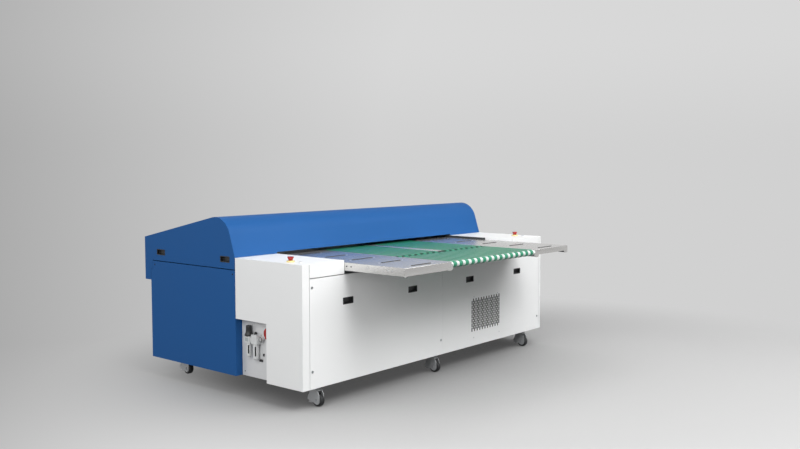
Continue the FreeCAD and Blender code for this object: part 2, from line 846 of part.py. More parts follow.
def linear_rails():
    """Two guide rails on the front of the beam."""
    x0, x1 = -side + beam_end + rail_end, side - beam_end - rail_end
    rails = []
    for i in range(2):
        z = guide_low + i * guide_pitch - guide_width / 2
        rails.append(box(x0, x1, beam_y - guide_height, beam_y, z, z + guide_width))
    return rails


def guide_blocks():
    """Four runner blocks that wrap the rails."""
    blocks = []
    y0 = beam_y - guide_height - 14
    for i in range(2):
        z = guide_low + i * guide_pitch
        for offset in (-carriage_width / 2 + 10, carriage_width / 2 - 10 - block_length):
            x = carriage_x + offset
            block = box(x, x + block_length, y0, y0 + block_depth,
                        z - block_height / 2, z + block_height / 2)
            half = guide_width / 2 + 0.3
            groove = box(x - 1, x + block_length + 1, beam_y - guide_height - 0.3, beam_y,
                         z - half, z + half)
            blocks.append(block.cut(groove))
    return blocks


def carriage():
    """Folded carriage body, open below for the heads, on its four runner blocks."""
    y1 = beam_y - guide_height - 14
    y0 = y1 - carriage_depth
    z0 = head_z + 14
    z1 = z0 + carriage_height
    x0, x1 = carriage_x - carriage_width / 2, carriage_x + carriage_width / 2
    w = carriage_wall
    outline = [(y0, z0), (y1, z0), (y1, z1), (y0 + 50, z1), (y0, z1 - 50)]
    inner = [(y0 + w, z0 - 1), (y1 - w, z0 - 1), (y1 - w, z1 - w), (y0 + 50 + 2, z1 - w),
             (y0 + w, z1 - 50 - 2)]
    body = side_profile(outline, x0, x1).cut(side_profile(inner, x0 + w, x1 - w))
    return [body] + guide_blocks()


def uv_lamps():
    """A curing lamp on each side of the carriage."""
    y1 = beam_y - guide_height - 14
    lamps = []
    for x in (carriage_x - carriage_width / 2 - lamp_width, carriage_x + carriage_width / 2):
        lamps.append(box(x, x + lamp_width, y1 - carriage_depth + 60, y1 - 40,
                         head_z + 4, head_z + 110))
    return lamps


def head_grid():
    """Middles of the print heads under the carriage."""
    y_middle = beam_y - guide_height - 14 - carriage_depth / 2
    places = []
    for row in range(head_rows):
        for column in range(head_columns):
            x = carriage_x + (column - (head_columns - 1) / 2) * 88 + (row - 0.5) * 20
            places.append((x, y_middle + (row - 0.5) * 124))
    return places


def head_plate():
    """Plate that carries the heads and rises with them for thicker stock."""
    half = carriage_width / 2 - carriage_wall - 0.5
    y1 = beam_y - guide_height - 14 - carriage_wall - 0.5
    y0 = y1 - carriage_depth + 2 * carriage_wall + 1.0
    z = head_z + 16
    plate = box(carriage_x - half, carriage_x + half, y0, y1, z, z + 8)
    holes = [box(x - 16, x + 16, y - 51, y + 51, z - 1, z + 9) for x, y in head_grid()]
    return plate.cut(Part.makeCompound(holes))


def print_heads():
    """Piezo heads: a body through the plate and a narrower nozzle end below it."""
    heads = []
    for x, y in head_grid():
        neck = box(x - 16, x + 16, y - 51, y + 51, head_z, head_z + 26)
        body = box(x - 20, x + 20, y - 56, y + 56, head_z + 24, head_z + 64)
        heads.append(neck.fuse(body).removeSplitter())
    return heads


def capping_station():
    """Tray with a cap under each parked head, on the middle rail."""
    x0, x1 = carriage_x - 150, carriage_x + 150
    tray = box(x0, x1, middle_rail_y, middle_rail_y + 272, rail_top, rail_top + 24)
    caps = [box(x - 22, x + 22, y - 57, y + 57, rail_top + 24, head_z - 3)
            for x, y in head_grid()]
    return tray.fuse(caps).removeSplitter()


# Equipment in the cabinet --------------------------------------------------------------------

def control_box():
    """Electrical cabinet with its door panel."""
    x0, y0 = control_x, front_inset + control_set_back
    x1, z0, z1 = x0 + control_width, equipment_z, equipment_z + control_height
    cabinet = box(x0, x1, y0, y0 + control_depth, z0, z1)
    door = box(x0 + door_inset, x1 - door_inset, y0 - door_thickness, y0,
               z0 + door_inset, z1 - door_inset)
    return cabinet.fuse(door).removeSplitter()


def ink_tanks():
    """Six ink bottles side by side, each with its cap."""
    tanks = []
    first_x = control_x + control_width + tank_gap
    y0 = front_inset + tank_set_back
    z1 = equipment_z + tank_height
    for i in range(6):
        x = first_x + i * tank_pitch
        bottle = box(x, x + tank_width, y0, y0 + tank_depth, equipment_z, z1)
        cap_x, cap_y = x + (tank_width - tank_cap) / 2, y0 + (tank_depth - tank_cap) / 2
        cap = box(cap_x, cap_x + tank_cap, cap_y, cap_y + tank_cap, z1, z1 + tank_cap_height)
        tanks.append(bottle.fuse(cap).removeSplitter())
    return tanks


def vacuum_blower():
    """Side-channel blower: round housing, motor and two square ports on a foot."""
    x, y = cross_x[2] - tube, front_inset + blower_set_back
    z = equipment_z + blower_axis
    half, port = blower_radius * 0.4, blower_radius * 0.2
    foot = box(x - blower_radius, x + blower_radius, y - blower_front - motor_shift,
               y + blower_foot_rear, equipment_z, equipment_z + blower_foot)
    post = box(x - half, x + half, y - blower_front, y + blower_front * 2,
               equipment_z + blower_foot, z)
    housing = turned([(0, 0), (blower_radius, 0), (blower_radius, blower_depth),
                      (0, blower_depth)], (x, y - blower_front, z), (0, 1, 0), wheel_sides)
    motor = turned([(0, 0), (motor_radius, 0), (motor_radius, motor_length), (0, motor_length)],
                   (x, y + blower_depth - blower_front, z), (0, 1, 0), cap_sides)
    ports = [box(x + dx - port, x + dx + port, y - blower_front + 10, y + 10,
                 equipment_z + blower_foot, z) for dx in (-port_offset, port_offset)]
    return foot.fuse([post, housing, motor] + ports).removeSplitter()


# Casters -------------------------------------------------------------------------------------


def caster_plate(x, y):
    """Top plate with the raceway that the body's kingpin turns in."""
    plate = box(x - 52, x + 52, y - 43, y + 43, caster_height - 4, caster_height)
    raceway = turned([(0, 0), (28, 0), (28, 10), (0, 10)], (x, y, caster_height - 14),
                     (0, 0, 1), bore_sides)
    hole = bore(kingpin_radius + running_gap, (x, y, caster_height - 20), (0, 0, 1), 30)
    return plate.fuse(raceway).cut(hole)


def caster_fork(x, y):
    """Cast body of a levelling caster: crown, kingpin, two arms round the wheel and the housing
    of the foot behind it, with the foot screwed up under the housing.
    """
    crown_z = caster_height - 14.3
    under = crown_z - crown_thickness
    half = fork_inner / 2
    hub_y, hub_z = y - caster_trail, wheel_radius
    arm_outline = [(-2, crown_z), (-12, hub_z + 57), (-25, hub_z + 35), (-27, hub_z + 7),
                   (-25, hub_z - 12), (-14, hub_z - 23), (0, hub_z - 25), (16, hub_z - 20),
                   (24, hub_z - 15), (60, housing_low), (74, hub_z - 1), (71, hub_z + 17),
                   (57, hub_z + 41), (52, crown_z)]
    arm = [(hub_y + dy, z) for dy, z in arm_outline]
    arms = [side_profile(arm, x + x0, x + x0 + fork_plate) for x0 in (-half - fork_plate, half)]
    visor_outline = [(-2, crown_z), (-12, hub_z + 57), (-8, hub_z + 54), (0, under), (20, under),
                     (20, crown_z)]
    visor = side_profile([(hub_y + dy, z) for dy, z in visor_outline], x - half, x + half)
    housing_outline = [(43, housing_low), (60, housing_low), (69, hub_z), (66, hub_z + 17),
                       (53, hub_z + 41), (49, under), (43, under)]
    housing = side_profile([(hub_y + dy, z) for dy, z in housing_outline], x - half, x + half)
    crown = turned([(0, under), (30, under), (30, crown_z), (0, crown_z)], (x, y, 0), (0, 0, 1),
                   rough_sides)
    kingpin = rod(kingpin_radius, (x, y, crown_z - 2), (0, 0, 1), 13)
    axle = rod(axle_radius, (x - half, hub_y, hub_z), (1, 0, 0), fork_inner)
    body = crown.fuse([kingpin, axle, visor, housing] + arms).removeSplitter()
    foot = turned([(0, foot_low), (foot_radius, foot_low), (foot_radius, foot_low + 6),
                   (12, housing_low), (0, housing_low)], (x, y + foot_behind, 0), (0, 0, 1),
                  rough_sides)
    return [body, foot]


def caster_wheel(x, y):
    """Solid wheel with a bore for the axle."""
    half = wheel_width / 2
    start = (x - half, y - caster_trail, wheel_radius)
    wheel = turned([(0, 0), (wheel_radius, 0), (wheel_radius, wheel_width), (0, wheel_width)],
                   start, (1, 0, 0), wheel_sides)
    return wheel.cut(bore(axle_radius + running_gap, start, (1, 0, 0), wheel_width))


# Build ---------------------------------------------------------------------------------------


def build_structure():
    """Frame, floor, covers and the utility recess."""
    save("base_frame", *base_frame())
    save("base_floor", base_floor())
    save("left_side_panel", left_side_panel())
    save("right_side_panel", right_side_panel())
    save("left_end_cover", end_cover(left_unit_width, left_strip, estop_left_x, button_left_x))
    save("right_end_cover",
         mirrored(end_cover(right_unit_width, right_strip, estop_right_x, button_right_x)))
    lower = lower_side_panel()
    save("lower_side_panels", lower, mirrored(lower))
    save("rear_panels", *rear_panels())
    save("rear_rail", rear_rail())
    save("utility_panel", utility_panel())
    save("air_filter", *air_filter())
    save("air_filter_bowls", filter_bowl(regulator_y, 17.0, 87.0),
         filter_bowl(lubricator_y, 19.0, 95.0))
    save("regulator_knob", regulator_knob())
    save("main_switch", main_switch())


def build_front_and_hood():
    """Lift-off front panels with their handles, the grille, and the hood."""
    spans = {"left": (-side + left_strip + seam, panel_split - fine_seam / 2),
             "right": (panel_split + fine_seam / 2, side - right_strip - seam)}
    for name, (x0, x1) in spans.items():
        holes = pull_apertures(x0, x1)
        if name == "right":
            holes.append(grille_aperture())
        save("front_panel_" + name, front_panel(x0, x1, holes))
        save("front_handles_" + name, *front_pulls(x0, x1))
    save("vent_grille", vent_grille())
    save("hood", hood())
    save("hood_handles", *hood_pulls())


def build_table():
    """Table plates, the two belt conveyors, the strip and the fence."""
    save("table_plates", *[table_plate(x0, x1) for x0, x1 in plate_spans()])
    save("front_bed", conveyor_bed(-table_reach, nip_y - 0.5, front_axis,
                                   front_tail_axis, True))
    save("rear_bed", conveyor_bed(nip_y + 0.5, table_rear, rear_head_axis, rear_tail_axis, False))
    save("front_belts", *[belt_loop(x, front_axis, front_tail_axis) for x in belt_centres(False)])
    save("rear_belts", *[belt_loop(x, rear_head_axis, rear_tail_axis) for x in belt_centres(True)])
    save("front_roller", conveyor_roller(front_axis))
    save("front_tail_roller", conveyor_roller(front_tail_axis))
    save("rear_head_roller", conveyor_roller(rear_head_axis))
    save("rear_tail_roller", conveyor_roller(rear_tail_axis))
    save("center_strip", center_strip())
    save("side_fence", side_fence())


def build_printing():
    """Gantry, carriage, heads and the equipment in the cabinet."""
    save("gantry", *gantry())
    save("linear_rails", *linear_rails())
    save("carriage", *carriage())
    save("uv_lamps", *uv_lamps())
    save("head_plate", head_plate())
    save("print_heads", *print_heads())
    save("capping_station", capping_station())
    save("control_box", control_box())
    save("ink_tanks", *ink_tanks())
    save("vacuum_blower", vacuum_blower())


def build_controls():
    """Emergency stops and push buttons."""
    save("estop_bases", *estop_bases())
    for name, x in zip(("left", "right"), estop_places()):
        save("estop_" + name, estop_button(x))
    save("button_left", push_button(-side + button_left_x))
    save("button_right", push_button(side - button_right_x))


def build_casters():
    """Six swivel casters."""
    places = caster_places()
    save("caster_plates", *[caster_plate(x, y) for x, y in places])
    for number, (x, y) in enumerate(places, 1):
        save(f"caster_fork_{number}", *caster_fork(x, y))
        save(f"caster_wheel_{number}", caster_wheel(x, y))


os.makedirs("parts", exist_ok=True)
build_structure()
build_front_and_hood()
build_table()
build_printing()
build_controls()
build_casters()
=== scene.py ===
"""Flatbed UV printer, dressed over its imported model.

A steel cabinet on six casters carries a belt-fed table under a long blue hood. Each class
below is one sub-assembly of the machine: it holds its sizes as fields, builds its meshes as
numpy surfaces and gives each piece its finish. Sizes are in millimetres. Places come from the
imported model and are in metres.
"""
from __future__ import annotations

import logging
from dataclasses import dataclass
from enum import Enum
from typing import Iterable, Sequence

import bmesh
import bpy
import numpy as np
from mathutils import Matrix, Vector

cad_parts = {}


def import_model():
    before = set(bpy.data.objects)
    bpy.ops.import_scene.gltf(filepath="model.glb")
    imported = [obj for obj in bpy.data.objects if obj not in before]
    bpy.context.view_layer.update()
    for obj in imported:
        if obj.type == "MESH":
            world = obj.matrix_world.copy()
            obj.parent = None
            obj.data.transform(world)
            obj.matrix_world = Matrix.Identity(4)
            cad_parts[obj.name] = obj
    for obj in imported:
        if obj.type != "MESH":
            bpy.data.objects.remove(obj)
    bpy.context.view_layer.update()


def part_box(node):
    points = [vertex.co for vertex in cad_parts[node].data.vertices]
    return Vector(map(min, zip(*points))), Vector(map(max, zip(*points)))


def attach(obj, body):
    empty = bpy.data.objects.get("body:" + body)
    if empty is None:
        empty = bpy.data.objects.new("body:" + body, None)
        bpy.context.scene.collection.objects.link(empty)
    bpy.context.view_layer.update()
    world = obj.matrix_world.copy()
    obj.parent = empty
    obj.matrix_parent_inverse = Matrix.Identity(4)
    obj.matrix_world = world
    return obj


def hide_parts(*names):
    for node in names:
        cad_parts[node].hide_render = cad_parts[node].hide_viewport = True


LOG = logging.getLogger("printer")
MM = 0.001
FRONT, REAR, LEFT, RIGHT, UP, DOWN = ((0, -1, 0), (0, 1, 0), (-1, 0, 0), (1, 0, 0), (0, 0, 1),
                                      (0, 0, -1))
ENDS = ("left", "right")
SIDES = (("-", LEFT), ("+", RIGHT))
Patch = tuple[np.ndarray, np.ndarray]
Pair = tuple[float, float]
Point = Sequence[float]
Profile = Sequence[Pair]
Span = tuple[Point, Point]
Tree = bpy.types.NodeTree
Socket = bpy.types.NodeSocket


# Colours and finishes -----------------------------------------------------------------------


def linear(hex_code: str) -> tuple[float, float, float, float]:
    """Turn an sRGB hex colour into linear RGBA.

    Args:
        hex_code: Six hexadecimal digits.

    Returns:
        The colour as four linear numbers.
    """
    srgb = np.array([int(hex_code[i:i + 2], 16) for i in (0, 2, 4)]) / 255.0
    low = srgb / 12.92
    high = ((srgb + 0.055) / 1.055) ** 2.4
    return (*np.where(srgb <= 0.04045, low, high).tolist(), 1.0)


def empty_tree(owner: bpy.types.Material | bpy.types.World) -> Tree:
    """Give a material or a world an empty node tree.

    Args:
        owner: What gets the tree.

    Returns:
        The tree.
    """
    owner.use_nodes = True
    owner.node_tree.nodes.clear()
    return owner.node_tree


def add_node(tree: Tree, kind: str, inputs: dict | None = None,
             **settings: object) -> bpy.types.Node:
    """Add one node with its settings, values and links.

    Args:
        tree: The tree that gets the node.
        kind: Blender's name for the kind of node.
        inputs: Values or output sockets, by input name or number.
        settings: Attributes of the node.

    Returns:
        The new node.
    """
    node = tree.nodes.new(kind)
    for key, value in settings.items():
        setattr(node, key, value)
    for key, value in (inputs or {}).items():
        if isinstance(value, Socket):
            tree.links.new(value, node.inputs[key])
        else:
            node.inputs[key].default_value = value
    return node


def calculate(tree: Tree, operation: str, first: object, second: object) -> Socket:
    """Combine two numbers, by Blender's name for the operation."""
    return add_node(tree, "ShaderNodeMath", {0: first, 1: second},
                    operation=operation).outputs[0]


def vector(tree: Tree, operation: str, first: object, second: object = UP) -> Socket:
    """Combine two vectors into a vector, or into a number by dot product or distance."""
    node = add_node(tree, "ShaderNodeVectorMath", {0: first, 1: second}, operation=operation)
    return node.outputs["Value" if operation in ("DOT_PRODUCT", "DISTANCE") else "Vector"]


def blend(tree: Tree, share: Socket, first: object, second: object) -> Socket:
    """Blend two colours, by the share of the second."""
    return add_node(tree, "ShaderNodeMix", {0: share, 6: first, 7: second},
                    data_type="RGBA").outputs[2]


def remap(tree: Tree, value: Socket, span: Point, onto: Point = (0.0, 1.0),
          steps: str = "LINEAR") -> Socket:
    """Carry a number from one span onto another.

    Args:
        tree: The tree.
        value: The number.
        span: Its least and greatest value.
        onto: What they become.
        steps: Blender's name for the way between them.

    Returns:
        The result's socket.
    """
    ends = dict(zip(("From Min", "From Max", "To Min", "To Max"), (*span, *onto)))
    return add_node(tree, "ShaderNodeMapRange", {"Value": value, **ends},
                    interpolation_type=steps).outputs[0]


class Texture(Enum):
    """How a surface was made: size of its relief along x, y and z, and depth of its bump."""

    ORANGE_PEEL = ((3.0, 3.0, 3.0), 0.06)
    BRUSHED_X = ((180.0, 1.1, 1.1), 0.04)
    BRUSHED_Y = ((1.1, 180.0, 1.1), 0.008)
    CAST = ((1.6, 1.6, 1.6), 0.12)
    GRAIN = ((0.9, 0.9, 0.9), 0.08)
    WOVEN = ((2.4, 2.4, 2.4), 0.03)
    RUBBER = ((2.0, 2.0, 2.0), 0.10)
    ZINC = ((6.0, 6.0, 6.0), 0.04)
    POLISHED = ((20.0, 20.0, 20.0), 0.01)


@dataclass(frozen=True)
class Finish:
    """One real material: its colour, gloss and fine relief, and the name of its slot, which
    the build does not read.

    The tone and gloss wander over patches of the surface, as they do on sheet and castings.
    """

    name: str
    slot: str
    colour: str
    roughness: float
    texture: Texture
    metallic: float = 0.0
    coat: float = 0.0
    specular: float = 0.5
    tone_spread: float = 0.03
    gloss_spread: float = 0.06
    patch_size: float = 250.0
    least_roughness: float = 0.02

    def build(self) -> bpy.types.Material:
        """Make the Blender material.

        Returns:
            The material, one per finish name.
        """
        found = bpy.data.materials.get(self.name)
        if found:
            return found
        material = bpy.data.materials.new(self.name)
        tree = empty_tree(material)
        place = add_node(tree, "ShaderNodeTexCoord").outputs["Object"]
        shader = add_node(tree, "ShaderNodeBsdfPrincipled",
                          {"Metallic": self.metallic, "Coat Weight": self.coat})
        if not self.metallic:
            shader.inputs["IOR"].default_value = 1.5
            shader.inputs["Specular IOR Level"].default_value = self.specular
        patches = add_node(tree, "ShaderNodeTexNoise",
                           {"Vector": place, "Scale": 1 / (self.patch_size * MM),
                            "Detail": 3.0}).outputs["Fac"]
        base = linear(self.colour)
        low, high = ([min(c * k, 1.0) for c in base[:3]] + [1.0]
                     for k in (1 - self.tone_spread, 1 + self.tone_spread))
        tree.links.new(blend(tree, patches, low, high), shader.inputs["Base Color"])
        gloss = remap(tree, patches, (0.0, 1.0),
                      (max(self.roughness - self.gloss_spread, self.least_roughness),
                       self.roughness + self.gloss_spread))
        tree.links.new(gloss, shader.inputs["Roughness"])
        tree.links.new(self.relief(tree, place), shader.inputs["Normal"])
        add_node(tree, "ShaderNodeOutputMaterial", {"Surface": shader.outputs[0]})
        return material

    def relief(self, tree: Tree, place: Socket) -> Socket:
        """Add the bump of this finish's texture.

        Args:
            tree: The material's tree.
            place: Object coordinates.

        Returns:
            The bump's normal socket.
        """
        size, depth = self.texture.value
        scaled = add_node(tree, "ShaderNodeMapping",
                          {"Vector": place, "Scale": [1 / (s * MM) for s in size]}).outputs[0]
        if self.texture is Texture.WOVEN:
            warp, weft = (add_node(tree, "ShaderNodeTexWave", {"Vector": scaled, "Scale": 0.3},
                                   bands_direction=axis).outputs["Fac"] for axis in "XY")
            height = calculate(tree, "MULTIPLY", warp, weft)
        else:
            height = add_node(tree, "ShaderNodeTexNoise",
                              {"Vector": scaled, "Scale": 1.0, "Detail": 2.0}).outputs["Fac"]
        return add_node(tree, "ShaderNodeBump", {"Height": height, "Strength": 1.0,
                                                 "Distance": depth * MM}).outputs[0]


# Polyester powder coat: a soft gloss with orange peel a few millimetres across.
WHITE_COAT = Finish("white_powder_coat", "white_paint", "F1F2F2", 0.38, Texture.ORANGE_PEEL,
                    tone_spread=0.01)
BLUE_COAT = Finish("blue_powder_coat", "blue_paint", "225793", 0.50, Texture.ORANGE_PEEL,
                   specular=0.12, tone_spread=0.02)
GREY_COAT = Finish("light_grey_powder_coat", "grey_panel", "D8D9DA", 0.45, Texture.ORANGE_PEEL)
DARK_COAT = Finish("charcoal_powder_coat", "dark_paint", "2A2C2E", 0.50, Texture.ORANGE_PEEL)
FRAME_COAT = Finish("frame_grey_paint", "frame_grey", "3A3D40", 0.55, Texture.ORANGE_PEEL,
                    tone_spread=0.05)
# Cold-rolled stainless sheet, lightly brushed: a blurred mirror drawn out across the grain.
PLATE_STEEL = Finish("brushed_stainless", "steel_plate", "D8D7D5", 0.26, Texture.BRUSHED_Y,
                     metallic=0.88, tone_spread=0.015, gloss_spread=0.015)
# Ground and hardened steel of the guide rails.
GROUND_STEEL = Finish("ground_rail_steel", "rail_steel", "A9ACB0", 0.22, Texture.BRUSHED_X,
                      metallic=1.0)
# Bright zinc: grey-blue with a faint spangle. The small screws are blackened.
ZINC = Finish("bright_zinc", "zinc", "B9BCC0", 0.34, Texture.ZINC, metallic=1.0,
              tone_spread=0.10, gloss_spread=0.10, patch_size=12.0)
SCREW_ZINC = Finish("blackened_screw", "rail_steel", "303236", 0.38, Texture.ZINC,
                    metallic=1.0, patch_size=10.0)
# Aluminium: extruded and clear anodised, die-cast and tumbled, die-cast and painted silver.
ALUMINIUM = Finish("clear_anodised_aluminium", "aluminium", "C8CACC", 0.34, Texture.BRUSHED_X,
                   metallic=1.0)
CAST = Finish("die_cast_aluminium", "cast_grey", "BDBFC1", 0.42, Texture.CAST, metallic=0.55,
              patch_size=50.0)
FILTER_CAST = Finish("silver_painted_die_cast", "cast_grey", "D6D8D8", 0.38, Texture.CAST,
                     patch_size=50.0)
# Polyurethane belt on woven polyester: satin green with the cloth just showing through.
BELT = Finish("green_conveyor_belt", "belt_green", "1A8462", 0.30, Texture.WOVEN,
              tone_spread=0.05, patch_size=120.0)
# Hard white sleeve of the outer rollers.
SLEEVE = Finish("white_roller_sleeve", "roller_white", "D8DDDA", 0.35, Texture.GRAIN,
                tone_spread=0.02)
# Moulded plastics: grained black and grey, glossy red and yellow.
BLACK_ABS = Finish("black_abs", "black_plastic", "141517", 0.42, Texture.GRAIN,
                   tone_spread=0.06, patch_size=30.0)
GREY_ABS = Finish("grey_abs", "button_grey", "A9B0B2", 0.35, Texture.GRAIN, patch_size=30.0)
RED_ABS = Finish("red_gloss_plastic", "red_plastic", "A51B1C", 0.22, Texture.POLISHED,
                 coat=0.3, patch_size=30.0)
YELLOW_ABS = Finish("yellow_gloss_plastic", "yellow_plastic", "E4D08E", 0.28,
                    Texture.POLISHED, coat=0.2, patch_size=30.0)
# Rubber tyre on a nylon hub.
TYRE = Finish("black_tyre_rubber", "tyre", "1B1C1E", 0.68, Texture.RUBBER, tone_spread=0.15,
              patch_size=20.0)
HUB = Finish("grey_nylon_hub", "tyre", "6E7275", 0.45, Texture.GRAIN, patch_size=20.0)
# Smoked windows (on the bowl guards their dark also stands for the shaded inside of the
# bowls), the gauge's printed dial, open-cell foam and unpigmented bottles.
DARK_GLASS = Finish("smoked_polycarbonate", "black_plastic", "15181A", 0.08, Texture.POLISHED,
                    patch_size=50.0)
DIAL = Finish("white_dial", "white_paint", "BFC1C1", 0.5, Texture.POLISHED, patch_size=20.0)
FOAM = Finish("black_filter_foam", "black_plastic", "101112", 0.95, Texture.RUBBER,
              patch_size=30.0)
BOTTLE = Finish("natural_polyethylene", "ink_plastic", "D9DCD8", 0.38, Texture.GRAIN,
                patch_size=50.0)


# Places -------------------------------------------------------------------------------------


def corners(node: str) -> tuple[np.ndarray, np.ndarray]:
    """Give a node's lowest and highest corners."""
    low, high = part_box(node)
    return np.array(low), np.array(high)


def at(place: Point, x: float = 0, y: float = 0, z: float = 0) -> np.ndarray:
    """Step from a place, which is in metres, by millimetres."""
    return np.array(place, float) + MM * np.array((x, y, z), float)


def spot(node: str, ends: str, x: float = 0, y: float = 0, z: float = 0) -> np.ndarray:
    """Step in millimetres from a node's box.

    Args:
        node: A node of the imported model.
        ends: For each axis its low side "-", its middle "=" or its high side "+".
        x: Step along x.
        y: Step along y.
        z: Step along z.

    Returns:
        The place, in metres.
    """
    low, high = corners(node)
    sides = ["-=+".index(end) for end in ends]
    return at(np.choose(sides, (low, (low + high) / 2, high)), x, y, z)


# Shapes -------------------------------------------------------------------------------------


def full_turn(steps: int) -> np.ndarray:
    """Give the angles of a full turn, without its end."""
    return np.linspace(0, 2 * np.pi, steps, endpoint=False)


def quarter_round(radius: float, points: int) -> np.ndarray:
    """Round an edge from face to face: point = radius * (1 - sin t, 1 - cos t)."""
    t = np.linspace(0, np.pi / 2, points)
    return radius * np.column_stack([1 - np.sin(t), 1 - np.cos(t)])


def turned(radii: np.ndarray, heights: np.ndarray, angles: np.ndarray) -> np.ndarray:
    """Set loops of points round +Z: point = (r cos t, r sin t, h)."""
    r, h, t = np.broadcast_arrays(radii, heights, angles)
    return np.stack([r * np.cos(t), r * np.sin(t), h], axis=-1)


def capped(rings: np.ndarray) -> np.ndarray:
    """Add a loop drawn in to its middle before the first loop and after the last."""
    ends = rings[[0, -1]].mean(axis=1, keepdims=True).repeat(rings.shape[1], axis=1)
    return np.concatenate([ends[:1], rings, ends[1:]])


def skin(rings: np.ndarray) -> Patch:
    """Join closed loops of equal length into one surface.

    Args:
        rings: Loops by points by three coordinates.

    Returns:
        Points, and quads that run from each loop to the next and close round it.
    """
    count, around = rings.shape[:2]
    i, j = np.meshgrid(np.arange(count - 1), np.arange(around), indexing="ij")
    k = (j + 1) % around
    quads = np.stack([i * around + j, i * around + k, (i + 1) * around + k,
                      (i + 1) * around + j], axis=-1)
    return rings.reshape(-1, 3), quads.reshape(-1, 4)


def mounted(rings: np.ndarray, centre: Point, axis: Point = UP) -> Patch:
    """Skin loops in millimetres, with their +Z turned onto an axis, at a centre in metres."""
    turn = np.array(Vector(UP).rotation_difference(Vector(axis)).to_matrix())
    return skin(rings * MM @ turn.T + np.array(centre))


def lathe(profile: Profile, centre: Point, axis: Point = UP, around: int = 48) -> Patch:
    """Turn (radius, height) pairs: point = centre + (r cos t, r sin t, h) about the axis."""
    r, h = np.array(profile, float).T[..., None]
    return mounted(turned(r, h, full_turn(around)), centre, axis)


def rounded_loop(width: float, depth: float, radius: float, steps: int = 4) -> np.ndarray:
    """Outline a rectangle with quarter-round corners, in its own plane.

    Args:
        width: Size along the first axis.
        depth: Size along the second axis.
        radius: Corner radius.
        steps: Points in each corner, less one.

    Returns:
        Points by two coordinates, anticlockwise.
    """
    radius = max(min(radius, width / 2, depth / 2), 1e-3)
    t = (np.arange(4) * np.pi / 2)[:, None] + np.linspace(0, np.pi / 2, steps + 1)
    signs = np.array([(1, 1), (-1, 1), (-1, -1), (1, -1)])[:, None]
    centres = signs * (width / 2 - radius, depth / 2 - radius)
    return (centres + radius * np.stack([np.cos(t), np.sin(t)], -1)).reshape(-1, 2)


def stack_loops(levels: Profile, width: float, depth: float,
                radius: float, shrink: float = 1.0, least: float = 0.2,
                steps: int = 4) -> np.ndarray:
    """Stack rounded rectangles, each the full one less its inset all round.

    The corner radius is the full one less shrink * inset, and no less than the least.

    Args:
        levels: (inset, height) pairs.
        width: Full size along the first axis.
        depth: Full size along the second axis.
        radius: Corner radius of the full rectangle.
        shrink: How fast the radius falls with the inset.
        least: Least radius.
        steps: Points in each corner, less one.

    Returns:
        Loops by points by three coordinates.
    """
    loops = [rounded_loop(width - 2 * inset, depth - 2 * inset,
                          max(radius - shrink * inset, least), steps) for inset, _ in levels]
    heights = np.array([height for _, height in levels])
    heights = np.broadcast_to(heights[:, None, None], (*np.shape(loops)[:2], 1))
    return np.concatenate([loops, heights], axis=-1)


def block(low: Point, high: Point, edge: float) -> Patch:
    """Make a block with rounded edges, stacked from rounded rectangles.

    Args:
        low: Lowest corner, in metres.
        high: Highest corner, in metres.
        edge: Radius of the edges.

    Returns:
        The closed surface.
    """
    low, high = np.array(low, float), np.array(high, float)
    size = (high - low) / MM
    edge = min(edge, *(size * 0.45))
    foot = quarter_round(edge, 4)
    head = (0, size[2]) + foot[::-1] * (1, -1)
    centre = ((low[0] + high[0]) / 2, (low[1] + high[1]) / 2, low[2])
    return mounted(capped(stack_loops([*foot, *head], size[0], size[1], edge)), centre)


def slab(place: Point, span: Span, edge: float) -> Patch:
    """Make a block between two corners in millimetres from a place."""
    return block(at(place, *span[0]), at(place, *span[1]), edge)


# Fasteners as rows of (share of the radius, share of the height, hexagonal or round). The
# screw is a crown of elliptic section with a socket, and the nut has a small chamfer.
SOCKET_SCREW = ((0.0, 0.45, 1), (0.5, 0.45, 1), (0.5, 0.98, 1), (0.62, 1.0, 0),
                (0.85, 0.8, 0), (1.0, 0.35, 0), (1.0, 0.0, 0), (0.0, 0.0, 0))
HEX_NUT = ((0.0, 0.0, 1), (1.0, 0.0, 1), (1.0, 0.85, 1), (0.88, 1.0, 1), (0.0, 1.0, 1))


def fastener(rows: Sequence[tuple[float, float, int]], centre: Point,
             axis: Point, radius: float, rise: float) -> Patch:
    """Make a screw head or a nut: the hexagon's radius is cos 30 / cos(t mod 60 - 30).

    Args:
        rows: Its section, as above.
        centre: Middle of its seat.
        axis: Direction in which it stands out.
        radius: Radius, to the corners of a hexagon.
        rise: Height.

    Returns:
        The closed surface.
    """
    t = full_turn(24)
    flats = np.cos(np.pi / 6) / np.cos(t % (np.pi / 3) - np.pi / 6)
    r, h, hexagonal = np.array(rows, float).T[..., None]
    return mounted(turned(radius * r * np.where(hexagonal, flats, 1.0), rise * h, t), centre,
                   axis)


def swept(section: np.ndarray, path: np.ndarray, across: np.ndarray) -> Patch:
    """Carry a closed section along a closed path in a plane.

    Point = path + u * across + v * outward normal, for each (u, v) of the section.

    Args:
        section: Points by (u, v), in metres.
        path: Points of the closed path, in metres.
        across: Unit vector square to the path's plane.

    Returns:
        The closed tube of that section.
    """
    ahead = np.roll(path, -1, 0) - np.roll(path, 1, 0)
    ahead /= np.linalg.norm(ahead, axis=1, keepdims=True)
    out = np.cross(ahead, across)
    rings = (path[:, None] + section[None, :, :1] * across
             + section[None, :, 1:] * out[:, None])
    return skin(np.concatenate([rings, rings[:1]]))


